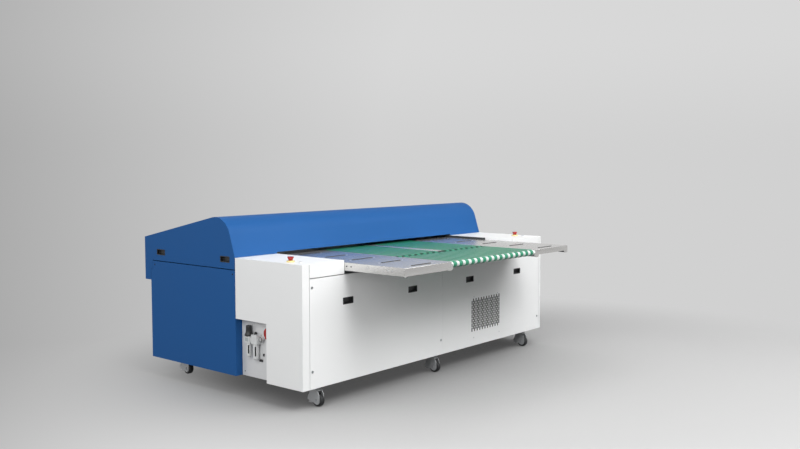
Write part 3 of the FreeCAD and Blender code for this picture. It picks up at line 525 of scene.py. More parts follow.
def pierced_sheet(outline: np.ndarray, holes: Iterable[np.ndarray], thickness: float,
                  edge: float, place: Matrix) -> Patch:
    """Make a flat sheet with holes from closed outlines, with lightly broken edges.

    Args:
        outline: Outer loop in the sheet's plane, points by two coordinates.
        holes: Loops in the same plane, the other way round.
        thickness: Sheet thickness.
        edge: Width of the broken edges.
        place: Transform from the sheet's plane, whose middle surface is z = 0.

    Returns:
        The closed surface.
    """
    curve = bpy.data.curves.new("sheet_outline", "CURVE")
    curve.dimensions, curve.fill_mode, curve.bevel_resolution = "2D", "BOTH", 1
    curve.extrude, curve.bevel_depth, curve.offset = ((thickness / 2 - edge) * MM, edge * MM,
                                                      -edge * MM)
    for loop in (outline, *holes):
        spline = curve.splines.new("POLY")
        spline.points.add(len(loop) - 1)
        spline.points.foreach_set("co", np.column_stack(
            [loop * MM, np.zeros(len(loop)), np.ones(len(loop))]).ravel())
        spline.use_cyclic_u = True
    holder = bpy.data.objects.new("sheet_outline", curve)
    mesh = bpy.data.meshes.new_from_object(holder)
    mesh.transform(place)
    points = np.empty(len(mesh.vertices) * 3)
    mesh.vertices.foreach_get("co", points)
    faces = np.empty(len(mesh.polygons), object)
    faces[:] = [np.array(face.vertices) for face in mesh.polygons]
    bpy.data.objects.remove(holder)
    bpy.data.curves.remove(curve)
    bpy.data.meshes.remove(mesh)
    return points.reshape(-1, 3), faces


# Pieces -------------------------------------------------------------------------------------


def put(name: str, data: bpy.types.ID, place: Matrix | None = None) -> bpy.types.Object:
    """Put an object in the scene.

    Args:
        name: Its name.
        data: Its mesh, lamp or camera.
        place: Where it goes, or None for the origin.

    Returns:
        The object.
    """
    thing = bpy.data.objects.new(name, data)
    if place is not None:
        thing.matrix_world = place
    bpy.context.scene.collection.objects.link(thing)
    return thing


def welded_mesh(name: str, patches: Iterable[Patch]) -> bpy.types.Mesh:
    """Join surfaces into one mesh, with its seams and poles closed.

    Args:
        name: The mesh's name.
        patches: The surfaces.

    Returns:
        The mesh, with its faces outward where it is closed.
    """
    points, faces, start = [], [], 0
    for patch_points, patch_faces in patches:
        points.append(patch_points)
        faces += list(patch_faces + start)
        start += len(patch_points)
    mesh = bpy.data.meshes.new(name)
    mesh.from_pydata(np.concatenate(points).tolist(), [], faces)
    work = bmesh.new()
    work.from_mesh(mesh)
    bmesh.ops.remove_doubles(work, verts=work.verts, dist=1e-6)
    bmesh.ops.dissolve_degenerate(work, edges=work.edges, dist=1e-7)
    bmesh.ops.recalc_face_normals(work, faces=work.faces)
    work.to_mesh(mesh)
    work.free()
    return mesh


def make_piece(name: str, shape: Iterable[Patch] | bpy.types.Mesh, finish: Finish,
               body: str = "root", stands_for: Sequence[str] = (),
               smooth_angle: float = 35.0) -> bpy.types.Object:
    """Make one piece: put its mesh in the scene, finish it and hang it on its body.

    Args:
        name: The piece's name.
        shape: Its surfaces, or its mesh.
        finish: Its material.
        body: The body that it rides on.
        stands_for: Nodes that it replaces.
        smooth_angle: Edges above this many degrees stay sharp.

    Returns:
        The object.
    """
    mesh = shape if isinstance(shape, bpy.types.Mesh) else welded_mesh(name, shape)
    mesh.polygons.foreach_set("use_smooth", np.ones(len(mesh.polygons), bool))
    mesh.set_sharp_from_angle(angle=np.radians(smooth_angle))
    mesh.update()
    mesh.materials.clear()
    mesh.materials.append(finish.build())
    piece = put(name, mesh)
    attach(piece, body)
    if stands_for:
        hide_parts(*stands_for)
    LOG.info("%s: %d faces on %s", name, len(mesh.polygons), body)
    return piece


def drop_islands(work: bmesh.types.BMesh, ceiling: float) -> None:
    """Delete each loose part of a mesh whose highest point is under a height.

    The highest point is carried along the edges until nothing changes.

    Args:
        work: The mesh.
        ceiling: The height, in metres.
    """
    work.verts.index_update()
    ends = np.array([[vert.index for vert in edge.verts] for edge in work.edges]).T
    tops = np.array([vert.co.z for vert in work.verts])
    before = np.full_like(tops, -np.inf)
    while not np.array_equal(before, tops):
        before = tops.copy()
        higher = np.maximum(tops[ends[0]], tops[ends[1]])
        np.maximum.at(tops, ends[0], higher)
        np.maximum.at(tops, ends[1], higher)
    low = [vert for vert in work.verts if tops[vert.index] < ceiling]
    bmesh.ops.delete(work, geom=low, context="VERTS")


def folded(name: str, node: str, finish: Finish, body: str = "root", edge: float = 0.8,
           ceiling: float = 0.0) -> None:
    """Stand a merged copy in for a node, with its folded and cut edges broken.

    Args:
        name: The piece's name.
        node: The node that it copies and replaces.
        finish: Its material.
        body: The body that it rides on.
        edge: Width of the broken edges.
        ceiling: Loose parts that end under this height are left out.
    """
    broken_above = 30.0
    mesh = bpy.data.objects[node].data.copy()
    mesh.name = name
    work = bmesh.new()
    work.from_mesh(mesh)
    bmesh.ops.remove_doubles(work, verts=work.verts, dist=1e-5)
    if ceiling:
        drop_islands(work, ceiling * MM)
    bmesh.ops.dissolve_limit(work, angle_limit=np.radians(0.5), verts=work.verts,
                             edges=work.edges)
    work.to_mesh(mesh)
    work.free()
    piece = make_piece(name, mesh, finish, body, (node,), broken_above)
    bevel = piece.modifiers.new("broken_edges", "BEVEL")
    bevel.width, bevel.segments, bevel.limit_method = edge * MM, 2, "ANGLE"
    bevel.angle_limit, bevel.harden_normals = np.radians(broken_above), True
    bevel.use_clamp_overlap = True


# Studio -------------------------------------------------------------------------------------


@dataclass(frozen=True)
class Softbox:
    """A square soft lamp, hung in a direction from its target. Its sizes are in metres."""

    name: str
    azimuth: float
    elevation: float
    power: float
    size: float = 5.0
    distance: float = 9.0
    target: tuple[float, float, float] = (0.0, -0.3, 0.5)

    def build(self) -> None:
        """Hang the lamp, facing its target."""
        turn, lift = np.radians([self.azimuth, self.elevation])
        away = Vector((np.cos(turn) * np.cos(lift), np.sin(turn) * np.cos(lift), np.sin(lift)))
        data = bpy.data.lights.new(self.name, "AREA")
        data.shape, data.size, data.energy = "SQUARE", self.size, self.power
        put(self.name, data, Matrix.Translation(Vector(self.target) + self.distance * away)
            @ away.to_track_quat("Z", "Y").to_matrix().to_4x4())


@dataclass
class Studio:
    """Pale seamless floor, soft lights and the camera. Its sizes are in metres."""

    eye: tuple[float, float, float] = (-4.8555, -4.2575, 1.477)
    heading: float = 40.07
    pitch: float = -4.04
    lens: float = 39.6
    sensor: float = 36.0
    clip: Pair = (0.05, 200.0)
    world_strength: float = 0.02
    bright_azimuth: float = 20.0
    bright_range: Pair = (0.70, 0.93)
    horizon_tones: tuple[str, str] = ("AAAAAA", "D1D1D1")
    zenith_tones: tuple[str, str] = ("B2B2B2", "D8D8D8")
    zenith_lift: float = 0.14
    # Floor greys, painted lighter towards the bright side of the room.
    floor_tones: tuple[str, str] = ("A5A5A5", "B9B9B9")
    floor_bounce: str = "787878"
    floor_radii: tuple[float, ...] = (0.0, 2.0, 4.0, 8.0, 16.0, 120.0)
    # Reach, depth and samples of the contact shade painted onto the floor by ambient
    # occlusion.
    painted_shade_reach: float = 1.2
    painted_shade_depth: float = 0.7
    painted_shade_samples: int = 16
    far_level: Pair = (0.8, 12.0)
    far_limits: Pair = (1.0, 1.5)
    fade_centre: Pair = (0.5, -0.8)
    fade: Pair = (1.7, 3.4)
    fade_least: float = 0.10
    lamps: tuple[Softbox, ...] = (
        Softbox("key_softbox", 270.0, 57.0, 400.0),
        Softbox("front_softbox", 275.0, 25.0, 62.0),
        Softbox("left_softbox", 250.0, 45.0, 335.0, 4.0),
        Softbox("right_softbox", 300.0, 42.0, 225.0, 4.0, 7.0, (1.3, -0.5, 0.5)),
        Softbox("side_softbox", 200.0, 25.0, 400.0),
        Softbox("rear_softbox", 143.0, 16.0, 135.0),
        Softbox("back_softbox", 80.0, 38.0, 80.0))

    def camera(self) -> None:
        """Set the camera at the viewing angle."""
        data = bpy.data.cameras.new("camera")
        data.lens, data.sensor_width = self.lens, self.sensor
        data.clip_start, data.clip_end = self.clip
        turn = Matrix.Rotation(np.radians(self.heading - 90), 4, "Z")
        tilt = Matrix.Rotation(np.radians(90 + self.pitch), 4, "X")
        bpy.context.scene.camera = put("camera", data,
                                       Matrix.Translation(self.eye) @ turn @ tilt)

    def tone(self, tree: Tree, direction: Socket, tones: tuple[str, str]) -> Socket:
        """Blend two greys by how far a direction points to the bright side of the room.

        Args:
            tree: The node tree.
            direction: A unit direction.
            tones: Darker and lighter grey.

        Returns:
            The colour socket.
        """
        bright = np.radians(self.bright_azimuth)
        side = vector(tree, "DOT_PRODUCT", direction, (np.cos(bright), np.sin(bright), 0.0))
        return blend(tree, remap(tree, side, self.bright_range), *map(linear, tones))

    def backdrop(self, tree: Tree, direction: Socket) -> Socket:
        """Colour the room in a direction: lighter to one side and towards the top.

        Args:
            tree: The node tree.
            direction: A unit direction.

        Returns:
            The colour socket.
        """
        height = add_node(tree, "ShaderNodeSeparateXYZ", {0: direction}).outputs["Z"]
        lift = remap(tree, height, (0.0, self.zenith_lift), steps="SMOOTHSTEP")
        return blend(tree, lift, self.tone(tree, direction, self.horizon_tones),
                     self.tone(tree, direction, self.zenith_tones))

    def show(self, tree: Tree, unseen: bpy.types.Node, seen: bpy.types.Node,
             output: str) -> None:
        """Show one shader to camera and mirror rays, and the other to all the rest.

        Args:
            tree: The node tree.
            unseen: Shader that lights the machine.
            seen: Shader that is looked at.
            output: Kind of the output node.
        """
        path = add_node(tree, "ShaderNodeLightPath")
        direct = calculate(tree, "MAXIMUM", path.outputs["Is Camera Ray"],
                           path.outputs["Is Glossy Ray"])
        mix = add_node(tree, "ShaderNodeMixShader",
                       {0: direct, 1: unseen.outputs[0], 2: seen.outputs[0]})
        add_node(tree, output, {"Surface": mix.outputs[0]})

    def world(self) -> None:
        """Light the room evenly, and show the backdrop's greys to the camera."""
        world = bpy.data.worlds.new("room")
        bpy.context.scene.world = world
        tree = empty_tree(world)
        direction = add_node(tree, "ShaderNodeTexCoord").outputs["Generated"]
        shown = add_node(tree, "ShaderNodeBackground",
                         {"Color": self.backdrop(tree, direction), "Strength": 1.0})
        light = add_node(tree, "ShaderNodeBackground",
                         {"Color": linear("FFFFFF"), "Strength": self.world_strength})
        self.show(tree, light, shown, "ShaderNodeOutputWorld")

    def floor_material(self) -> bpy.types.Material:
        """Mix the floor where it is seen: pale, painted lighter towards the bright side of the
        room, with a deep contact shade painted in by ambient occlusion.

        It runs out into the backdrop's grey, whose level is a + b / square of the distance
        from the eye, and is darker where it would throw light back up.

        Returns:
            The material.
        """
        material = bpy.data.materials.new("studio_floor")
        tree = empty_tree(material)
        place = add_node(tree, "ShaderNodeTexCoord").outputs["Object"]
        toward = vector(tree, "ADD", place, (-self.eye[0], -self.eye[1], 0.0))
        direction = vector(tree, "NORMALIZE", toward)
        # Painted shade: the floor's colour is scaled by ambient occlusion raised to the depth.
        open_sky = add_node(tree, "ShaderNodeAmbientOcclusion",
                            {"Distance": self.painted_shade_reach}, samples=self.painted_shade_samples)
        tone = add_node(tree, "ShaderNodeVectorMath",
                        {0: self.tone(tree, direction, self.floor_tones),
                         "Scale": calculate(tree, "POWER", open_sky.outputs["AO"],
                                            self.painted_shade_depth)}, operation="SCALE")
        near = add_node(tree, "ShaderNodeBsdfDiffuse", {"Color": tone.outputs[0]})
        least, gain = self.far_level
        nearness = calculate(tree, "DIVIDE", gain, vector(tree, "DOT_PRODUCT", toward, toward))
        level = add_node(tree, "ShaderNodeClamp",
                         {"Value": calculate(tree, "ADD", nearness, least),
                          "Min": self.far_limits[0], "Max": self.far_limits[1]})
        far = add_node(tree, "ShaderNodeEmission",
                       {"Color": self.tone(tree, direction, self.horizon_tones),
                        "Strength": level.outputs[0]})
        fade = remap(tree, vector(tree, "DISTANCE", place, (*self.fade_centre, 0.0)),
                     self.fade, (self.fade_least, 1.0), "SMOOTHSTEP")
        shown = add_node(tree, "ShaderNodeMixShader",
                         {0: fade, 1: near.outputs[0], 2: far.outputs[0]})
        bounce = add_node(tree, "ShaderNodeBsdfDiffuse", {"Color": linear(self.floor_bounce)})
        self.show(tree, bounce, shown, "ShaderNodeOutputMaterial")
        return material

    def floor(self) -> None:
        """Lay a round floor of rings, wide enough to reach the horizon."""
        radii = np.array(self.floor_radii)[:, None]
        mesh = welded_mesh("floor", [skin(turned(radii, 0.0 * radii, full_turn(96)))])
        if mesh.polygons[0].normal.z < 0:
            mesh.flip_normals()
        mesh.materials.append(self.floor_material())
        put("floor", mesh)

    def build(self) -> None:
        """Set up the whole studio."""
        bpy.context.scene.view_settings.view_transform = "Standard"
        self.camera()
        self.world()
        self.floor()
        for lamp in self.lamps:
            lamp.build()


# The machine --------------------------------------------------------------------------------


@dataclass
class Covers:
    """Painted sheet covers, their screws and quarter-turn locks."""

    screw_radius: float = 5.5
    side_screws: tuple[tuple[str, float], ...] = (("-", 23.0), ("+", -45.0))
    side_drop: float = 25.0
    side_rise: float = 1.4
    rear_margin: float = 30.0
    rear_columns: int = 4
    rear_rise: float = 2.8
    lock_radius: float = 9.0
    # Dark block for each lock's key slot: painted shade of the slot's recess.
    key_slot_shade: Span = ((-1.2, -0.9, -4.2), (1.2, 0.4, 4.2))
    lock_places: tuple[tuple[str, str, float, float], ...] = (
        ("left", "---", 19, 105), ("left", "--+", 19, -52), ("left", "+--", -15, 102),
        ("right", "+--", -23, 103), ("right", "+-+", -23, -52))

    def locks(self, end: str) -> None:
        """Put the round quarter-turn locks in a front panel.

        Args:
            end: "left" or "right".
        """
        body, r = "front_panel_" + end, self.lock_radius
        places = [spot(body, ends, x, 0, z) for side, ends, x, z in self.lock_places
                  if side == end]
        profile = [(0, -0.6), (0.55 * r, -0.6), (0.62 * r, 1.2), (0.85 * r, 2), (r, 1.2),
                   (r, 0), (0, 0)]
        make_piece("panel_locks_" + end, [lathe(profile, p, FRONT, 32) for p in places], ZINC,
                   body)
        # Painted shade: the key slots are dark blocks, not cut recesses.
        make_piece("panel_key_slot_shades_" + end, [slab(p, self.key_slot_shade, 0.4) for p in places],
                   BLACK_ABS, body)

    def screws(self) -> None:
        """Screw the blue side panels near their upper corners, and the rear ones all round."""
        heads = [fastener(SOCKET_SCREW,
                          spot("lower_side_panels", side + end + "+", 0, y, -self.side_drop),
                          way, self.screw_radius, self.side_rise)
                 for side, way in SIDES for end, y in self.side_screws]
        make_piece("side_panel_screws", heads, SCREW_ZINC)
        low, high = corners("rear_panels")
        edge, count = self.rear_margin * MM, self.rear_columns
        xs = (*np.linspace(low[0] + edge, -edge, count),
              *np.linspace(edge, high[0] - edge, count))
        heads = [fastener(SOCKET_SCREW, (x, high[1], z), REAR, self.screw_radius,
                          self.rear_rise) for x in xs for z in (low[2] + edge, high[2] - edge)]
        make_piece("rear_panel_screws", heads, SCREW_ZINC)

    def build(self) -> None:
        """Dress every cover and add its fasteners."""
        for node in ("left_side_panel", "right_side_panel", "left_end_cover",
                     "right_end_cover"):
            folded(node + "_sheet", node, WHITE_COAT)
        for node in ("lower_side_panels", "rear_panels", "rear_rail"):
            folded(node + "_sheet", node, BLUE_COAT)
        folded("utility_panel_sheet", "utility_panel", GREY_COAT)
        folded("hood_shell", "hood", BLUE_COAT, "hood")
        for end in ENDS:
            body = "front_panel_" + end
            folded(body + "_sheet", body, WHITE_COAT, body)
            self.locks(end)
        self.screws()


@dataclass
class FlushPulls:
    """Black moulded pulls: a rounded lip round a pocket, with a rolled lower edge."""

    width: float = 93.0
    lip: float = 3.5
    rise: float = 1.6
    depth: float = 20.0
    wall: float = 1.5
    corner: float = 3.0
    corner_shrink: float = 0.3
    corner_least: float = 1.0

    def cups(self, places: Iterable[Point], outward: Point, width: float,
             height: float) -> list[Patch]:
        """Loft pulls through rounded rectangles, from the pocket out over the lip.

        Args:
            places: Middle of each lip's seat.
            outward: Direction that they face.
            width: Size of the lip along the loops' first axis.
            height: Size of the lip along the second.

        Returns:
            A closed surface for each.
        """
        lip, rise, wall = self.lip, self.rise, self.wall
        levels = [(lip + 2 * wall + 1.5, wall - self.depth),
                  (lip + 2 * wall, wall + 1.5 - self.depth), (lip + wall + 0.3, -2),
                  (lip + wall, 0.3), (lip, rise - 0.3), (lip - 0.8, rise), (1.2, rise),
                  (0.4, rise - 0.5), (0, 0), (lip, -0.05), (lip, -2),
                  (lip + wall, -self.depth)]
        rings = capped(stack_loops(levels, width, height, self.corner, self.corner_shrink,
                                   self.corner_least))
        return [mounted(rings, place, outward) for place in places]

    def build(self) -> None:
        """Make the pulls of the front panels and of the hood."""
        half = self.width / 2 * MM
        for end in ENDS:
            body, node = "front_panel_" + end, "front_handles_" + end
            low, high = corners(node)
            face, z = corners(body)[0][1], spot(node, "===")[2]
            cups = self.cups([(x, face, z) for x in (low[0] + half, high[0] - half)], FRONT,
                             self.width, (high[2] - low[2]) / MM)
            make_piece("front_pulls_" + end, cups, BLACK_ABS, body, [node])
        low, high = corners("hood_handles")
        z, cups = spot("hood_handles", "===")[2], []
        for shell, way in zip(corners("hood"), (LEFT, RIGHT)):
            cups += self.cups([(shell[0], y, z) for y in (low[1] + half, high[1] - half)], way,
                              (high[2] - low[2]) / MM, self.width)
        make_piece("hood_pulls", cups, BLACK_ABS, "hood", ["hood_handles"])


@dataclass
class VentGrille:
    """Vent plate with columns of short slots, each second column half a step higher."""

    columns: int = 22
    rows: int = 7
    column_pitch: float = 16.8
    row_pitch: float = 33.0
    slot: Pair = (13.0, 29.5)
    slot_corner: float = 3.0
    first_slot: Pair = (33.0, 61.0)
    screws: Profile = ((62, 317), (371, 314), (395, 12), (61, 15))
    screw: Pair = (4.0, 2.2)
    foam: Span = ((18, 2.2, 45), (-12, 14.2, -10))

    def build(self) -> None:
        """Make the plate, its screws and the dust filter behind it."""
        body, node = "front_panel_right", "vent_grille"
        low, high = corners(node)
        width, thickness, height = (high - low) / MM
        column, row = np.divmod(np.arange(self.columns * self.rows), self.rows)
        across = self.first_slot[0] + column * self.column_pitch
        up = self.first_slot[1] + (row + column % 2 / 2) * self.row_pitch
        shift = (np.array(self.slot) - (width, height)) / 2
        loop = rounded_loop(*self.slot, self.slot_corner, 3)
        holes = [(loop + place + shift)[::-1] for place in zip(across, up)]
        place = Matrix.Translation(spot(node, "===")) @ Matrix.Rotation(np.pi / 2, 4, "X")
        sheet = pierced_sheet(rounded_loop(width, height, 3), holes, thickness, 0.3, place)
        make_piece("vent_plate", [sheet], WHITE_COAT, body, [node], smooth_angle=15.0)
        heads = [fastener(SOCKET_SCREW, spot(node, "---", x, 0, z), FRONT, *self.screw)
                 for x, z in self.screws]
        make_piece("vent_screws", heads, ZINC, body)
        low[1] = high[1] = corners(body)[0][1]
        foam = block(at(low, *self.foam[0]), at(high, *self.foam[1]), 3)
        make_piece("dust_filter", [foam], FOAM, body)


@dataclass
class ServiceRecess:
    """Air filter unit, regulator knob, main switch and fittings in the left end's recess."""

    face_plate: Span = ((-1.5, 11, 12), (1, 41, 34))
    gauge: Point = (11, 14, 36)
    bezel: Profile = ((0, 0.2), (11.2, 0.2), (11.8, 1.6), (13.2, 1.8), (14.2, 0.8),
                      (14.2, -2), (0, -2))
    dial: Profile = ((0, 0.5), (11, 0.5), (11, 0.1), (0, 0.1))
    needle: Span = ((-1.2, -0.6, -2), (-0.8, 0.6, 8))
    dome: Profile = ((0, 2), (9.4, 2), (9.4, 13), (8, 16.6), (5.2, 19.2), (0, 19.6))
    dome_step: Point = (0, 19, -19)
    # Each bowl guard: its side of the box, the way inward, its radius and its length.
    guards: tuple[tuple[str, int, float, float], ...] = (("+", -1, 17, 87), ("-", 1, 19, 95))
    window: float = 9.0
    window_azimuth: float = 220.0
    # The knob's profile: radius, height and share of the ribs' depth.
    knob_rows: tuple[Point, ...] = (
        (0, 0, 0), (25, 0, 0), (26, 1, 0), (26, 9, 0), (24.5, 12, 0.2), (20, 22, 0.8),
        (18.4, 34, 1), (17.8, 50, 1), (17.5, 62, 1), (16, 65.2, 0.4), (13, 66, 0), (0, 66, 0))
    ribs: int = 22
    rib_depth: float = 0.7
    switch_radius: float = 36.0
    grip: Span = ((-27, -7, -32), (-9, 7, 32))
    spindle: Profile = ((0, -2), (6, -2), (6, 1), (0, 1))
    screws: tuple[tuple[str, float, float], ...] = (("---", 22, 28), ("-+-", -25, 28))
    sockets: tuple[Span, ...] = (((-7, 77, 148), (1, 87, 164)), ((-9, 93, 111), (1, 121, 125)))

    def filters(self) -> None:
        """Dress the filter blocks and add the face plate, the gauge and the sight dome."""
        folded("filter_blocks", "air_filter", FILTER_CAST, edge=1.6)
        low, high = corners("air_filter")
        bowls, knob = spot("air_filter_bowls", "---"), spot("regulator_knob", "=--")
        plate = slab((low[0], knob[1], low[2]), self.face_plate, 1.2)
        make_piece("filter_face_plates", [plate], GREY_ABS)
        gauge = at((bowls[0], low[1], low[2]), *self.gauge)
        make_piece("gauge_bezel", [lathe(self.bezel, gauge, LEFT, 40)], BLACK_ABS)
        make_piece("gauge_dial", [lathe(self.dial, gauge, LEFT, 40)], DIAL)
        make_piece("gauge_needle", [slab(gauge, self.needle, 0.1)], BLACK_ABS)
        seat = at((knob[0], bowls[1], high[2]), *self.dome_step)
        make_piece("sight_dome", [lathe(self.dome, seat, around=32)], DARK_GLASS)

    def bowls(self) -> None:
        """Turn the two bowl guards and set a dark sight window in each, whose dark is painted
        shade of the bowl's inside.
        """
        guards, windows = [], []
        for end, way, r, length in self.guards:
            foot = spot("air_filter_bowls", "=" + end + "+", 0, way * r, -length)
            foot[0] = spot("regulator_knob", "===")[0]
            t = np.linspace(0, np.pi / 2, 7)
            dome = zip(r * (0.55 + 0.45 * np.sin(t)), 9 * (1 - np.cos(t)))
            profile = [(0, 0), *dome, (r, length - 7), (r - 1.5, length - 6),
                       (r - 1.5, length - 3), (r, length - 2), (r, length), (0, length)]
            guards.append(lathe(profile, foot))
            spread = self.window / 2 / r
            a = np.radians(self.window_azimuth) + np.linspace(-spread, spread, 7)
            heights = np.array([22, 24, length - 14, length - 12])[:, None]
            rim = r + np.array([0, 0.5, 0.5, 0])[:, None]
            radii = np.concatenate([rim.repeat(7, 1), np.full((4, 7), r - 1.0)], axis=1)
            rings = turned(radii, heights, np.concatenate([a, a[::-1]]))
            windows.append(mounted(capped(rings), foot))
        make_piece("bowl_guards", guards, FILTER_CAST, stands_for=["air_filter_bowls"])
        # Painted shade: the sight windows are opaque dark panes that stand for the shaded
        # inside of the bowls.
        make_piece("bowl_window_shades", windows, DARK_GLASS)

    def knob(self) -> None:
        """Turn the flared knob, with ribs whose depth follows cos(ribs * angle)."""
        node = "regulator_knob"
        low, high = corners(node)
        radii, heights, share = np.array(self.knob_rows, float).T[..., None]
        t = full_turn(self.ribs * 8)
        radii = radii - self.rib_depth * share * (0.5 + 0.5 * np.cos(self.ribs * t)) ** 2
        heights = np.minimum(heights, (high[2] - low[2]) / MM)
        rings = turned(np.maximum(radii, 0.0), heights, t)
        make_piece("ribbed_knob", [mounted(rings, spot(node, "==-"))], BLACK_ABS, node, [node])

    def switch(self) -> None:
        """Turn the red switch disc and lay its grip bar across it."""
        node, r = "main_switch", self.switch_radius
        seat = spot(node, "===")
        seat[0] = spot("utility_panel", "---", -1)[0]
        disc = [(0, 0), (r - 2, 0), (r, 1.5), (r, 8), (r - 1.5, 10.5), (r - 5, 11), (0, 11)]
        make_piece("switch_handle",
                   [lathe(disc, seat, LEFT, 64), slab(seat, self.grip, 4),
                    lathe(self.spindle, seat, LEFT, 24)], RED_ABS, node, [node])

    def fittings(self) -> None:
        """Screw the grey panel on and add its two cable fittings."""
        node = "utility_panel"
        heads = [fastener(SOCKET_SCREW, spot(node, ends, 0, y, z), LEFT, 3.5, 2.0)
                 for ends, y, z in self.screws]
        make_piece("utility_panel_screws", heads, SCREW_ZINC)
        sockets = [slab(spot(node, "---"), span, 2) for span in self.sockets]
        make_piece("recess_sockets", sockets, BLACK_ABS)

    def build(self) -> None:
        """Build everything in the recess."""
        self.filters()
        self.bowls()
        self.knob()
        self.switch()
        self.fittings()


@dataclass
class Controls:
    """Emergency stops on yellow collars, and push buttons in metal rings: their profiles."""

    collar: Profile = (
        (7.7, 0.2), (24.4, 0.2), (25, 0.8), (25, 6.6), (24, 8.6), (21.8, 10), (16, 10),
        (15, 9.2), (15, 6.2), (7.7, 6.2), (7.7, 0.2))
    head: Profile = (
        (0, 4.7), (6.9, 4.7), (6.9, 10.5), (11.5, 10.5), (12.2, 11), (16, 20), (19.4, 28),
        (20, 30), (19.5, 31.8), (17.6, 33.1), (13, 33.8), (0, 34))
    ring: Profile = (
        (8.3, 0), (10.8, 0), (11.2, 0.6), (10.6, 2), (9, 2.4), (8.3, 2), (8.3, 0))
    cap: Profile = (
        (0, -1.5), (7.8, -1.5), (7.8, 3.4), (7.2, 4.4), (5, 5.2), (0, 5.5))

    def build(self) -> None:
        """Build the stops and buttons of both raised boxes."""
        collars, rings = [], []
        top = corners("left_end_cover")[1][2]
        for end in ENDS:
            stop, button = "estop_" + end, "button_" + end
            seat = (*spot(stop, "===")[:2], top)
            collars.append(lathe(self.collar, seat))
            make_piece("emergency_stop_" + end, [lathe(self.head, seat)], RED_ABS, stop,
                       [stop])
            seat = (*spot(button, "===")[:2], top)
            rings.append(lathe(self.ring, seat, around=40))
            make_piece("push_button_" + end, [lathe(self.cap, seat, around=40)], GREY_ABS,
                       button, [button])
        make_piece("emergency_stop_collars", collars, YELLOW_ABS, stands_for=["estop_bases"])
        make_piece("button_rings", rings, ZINC)


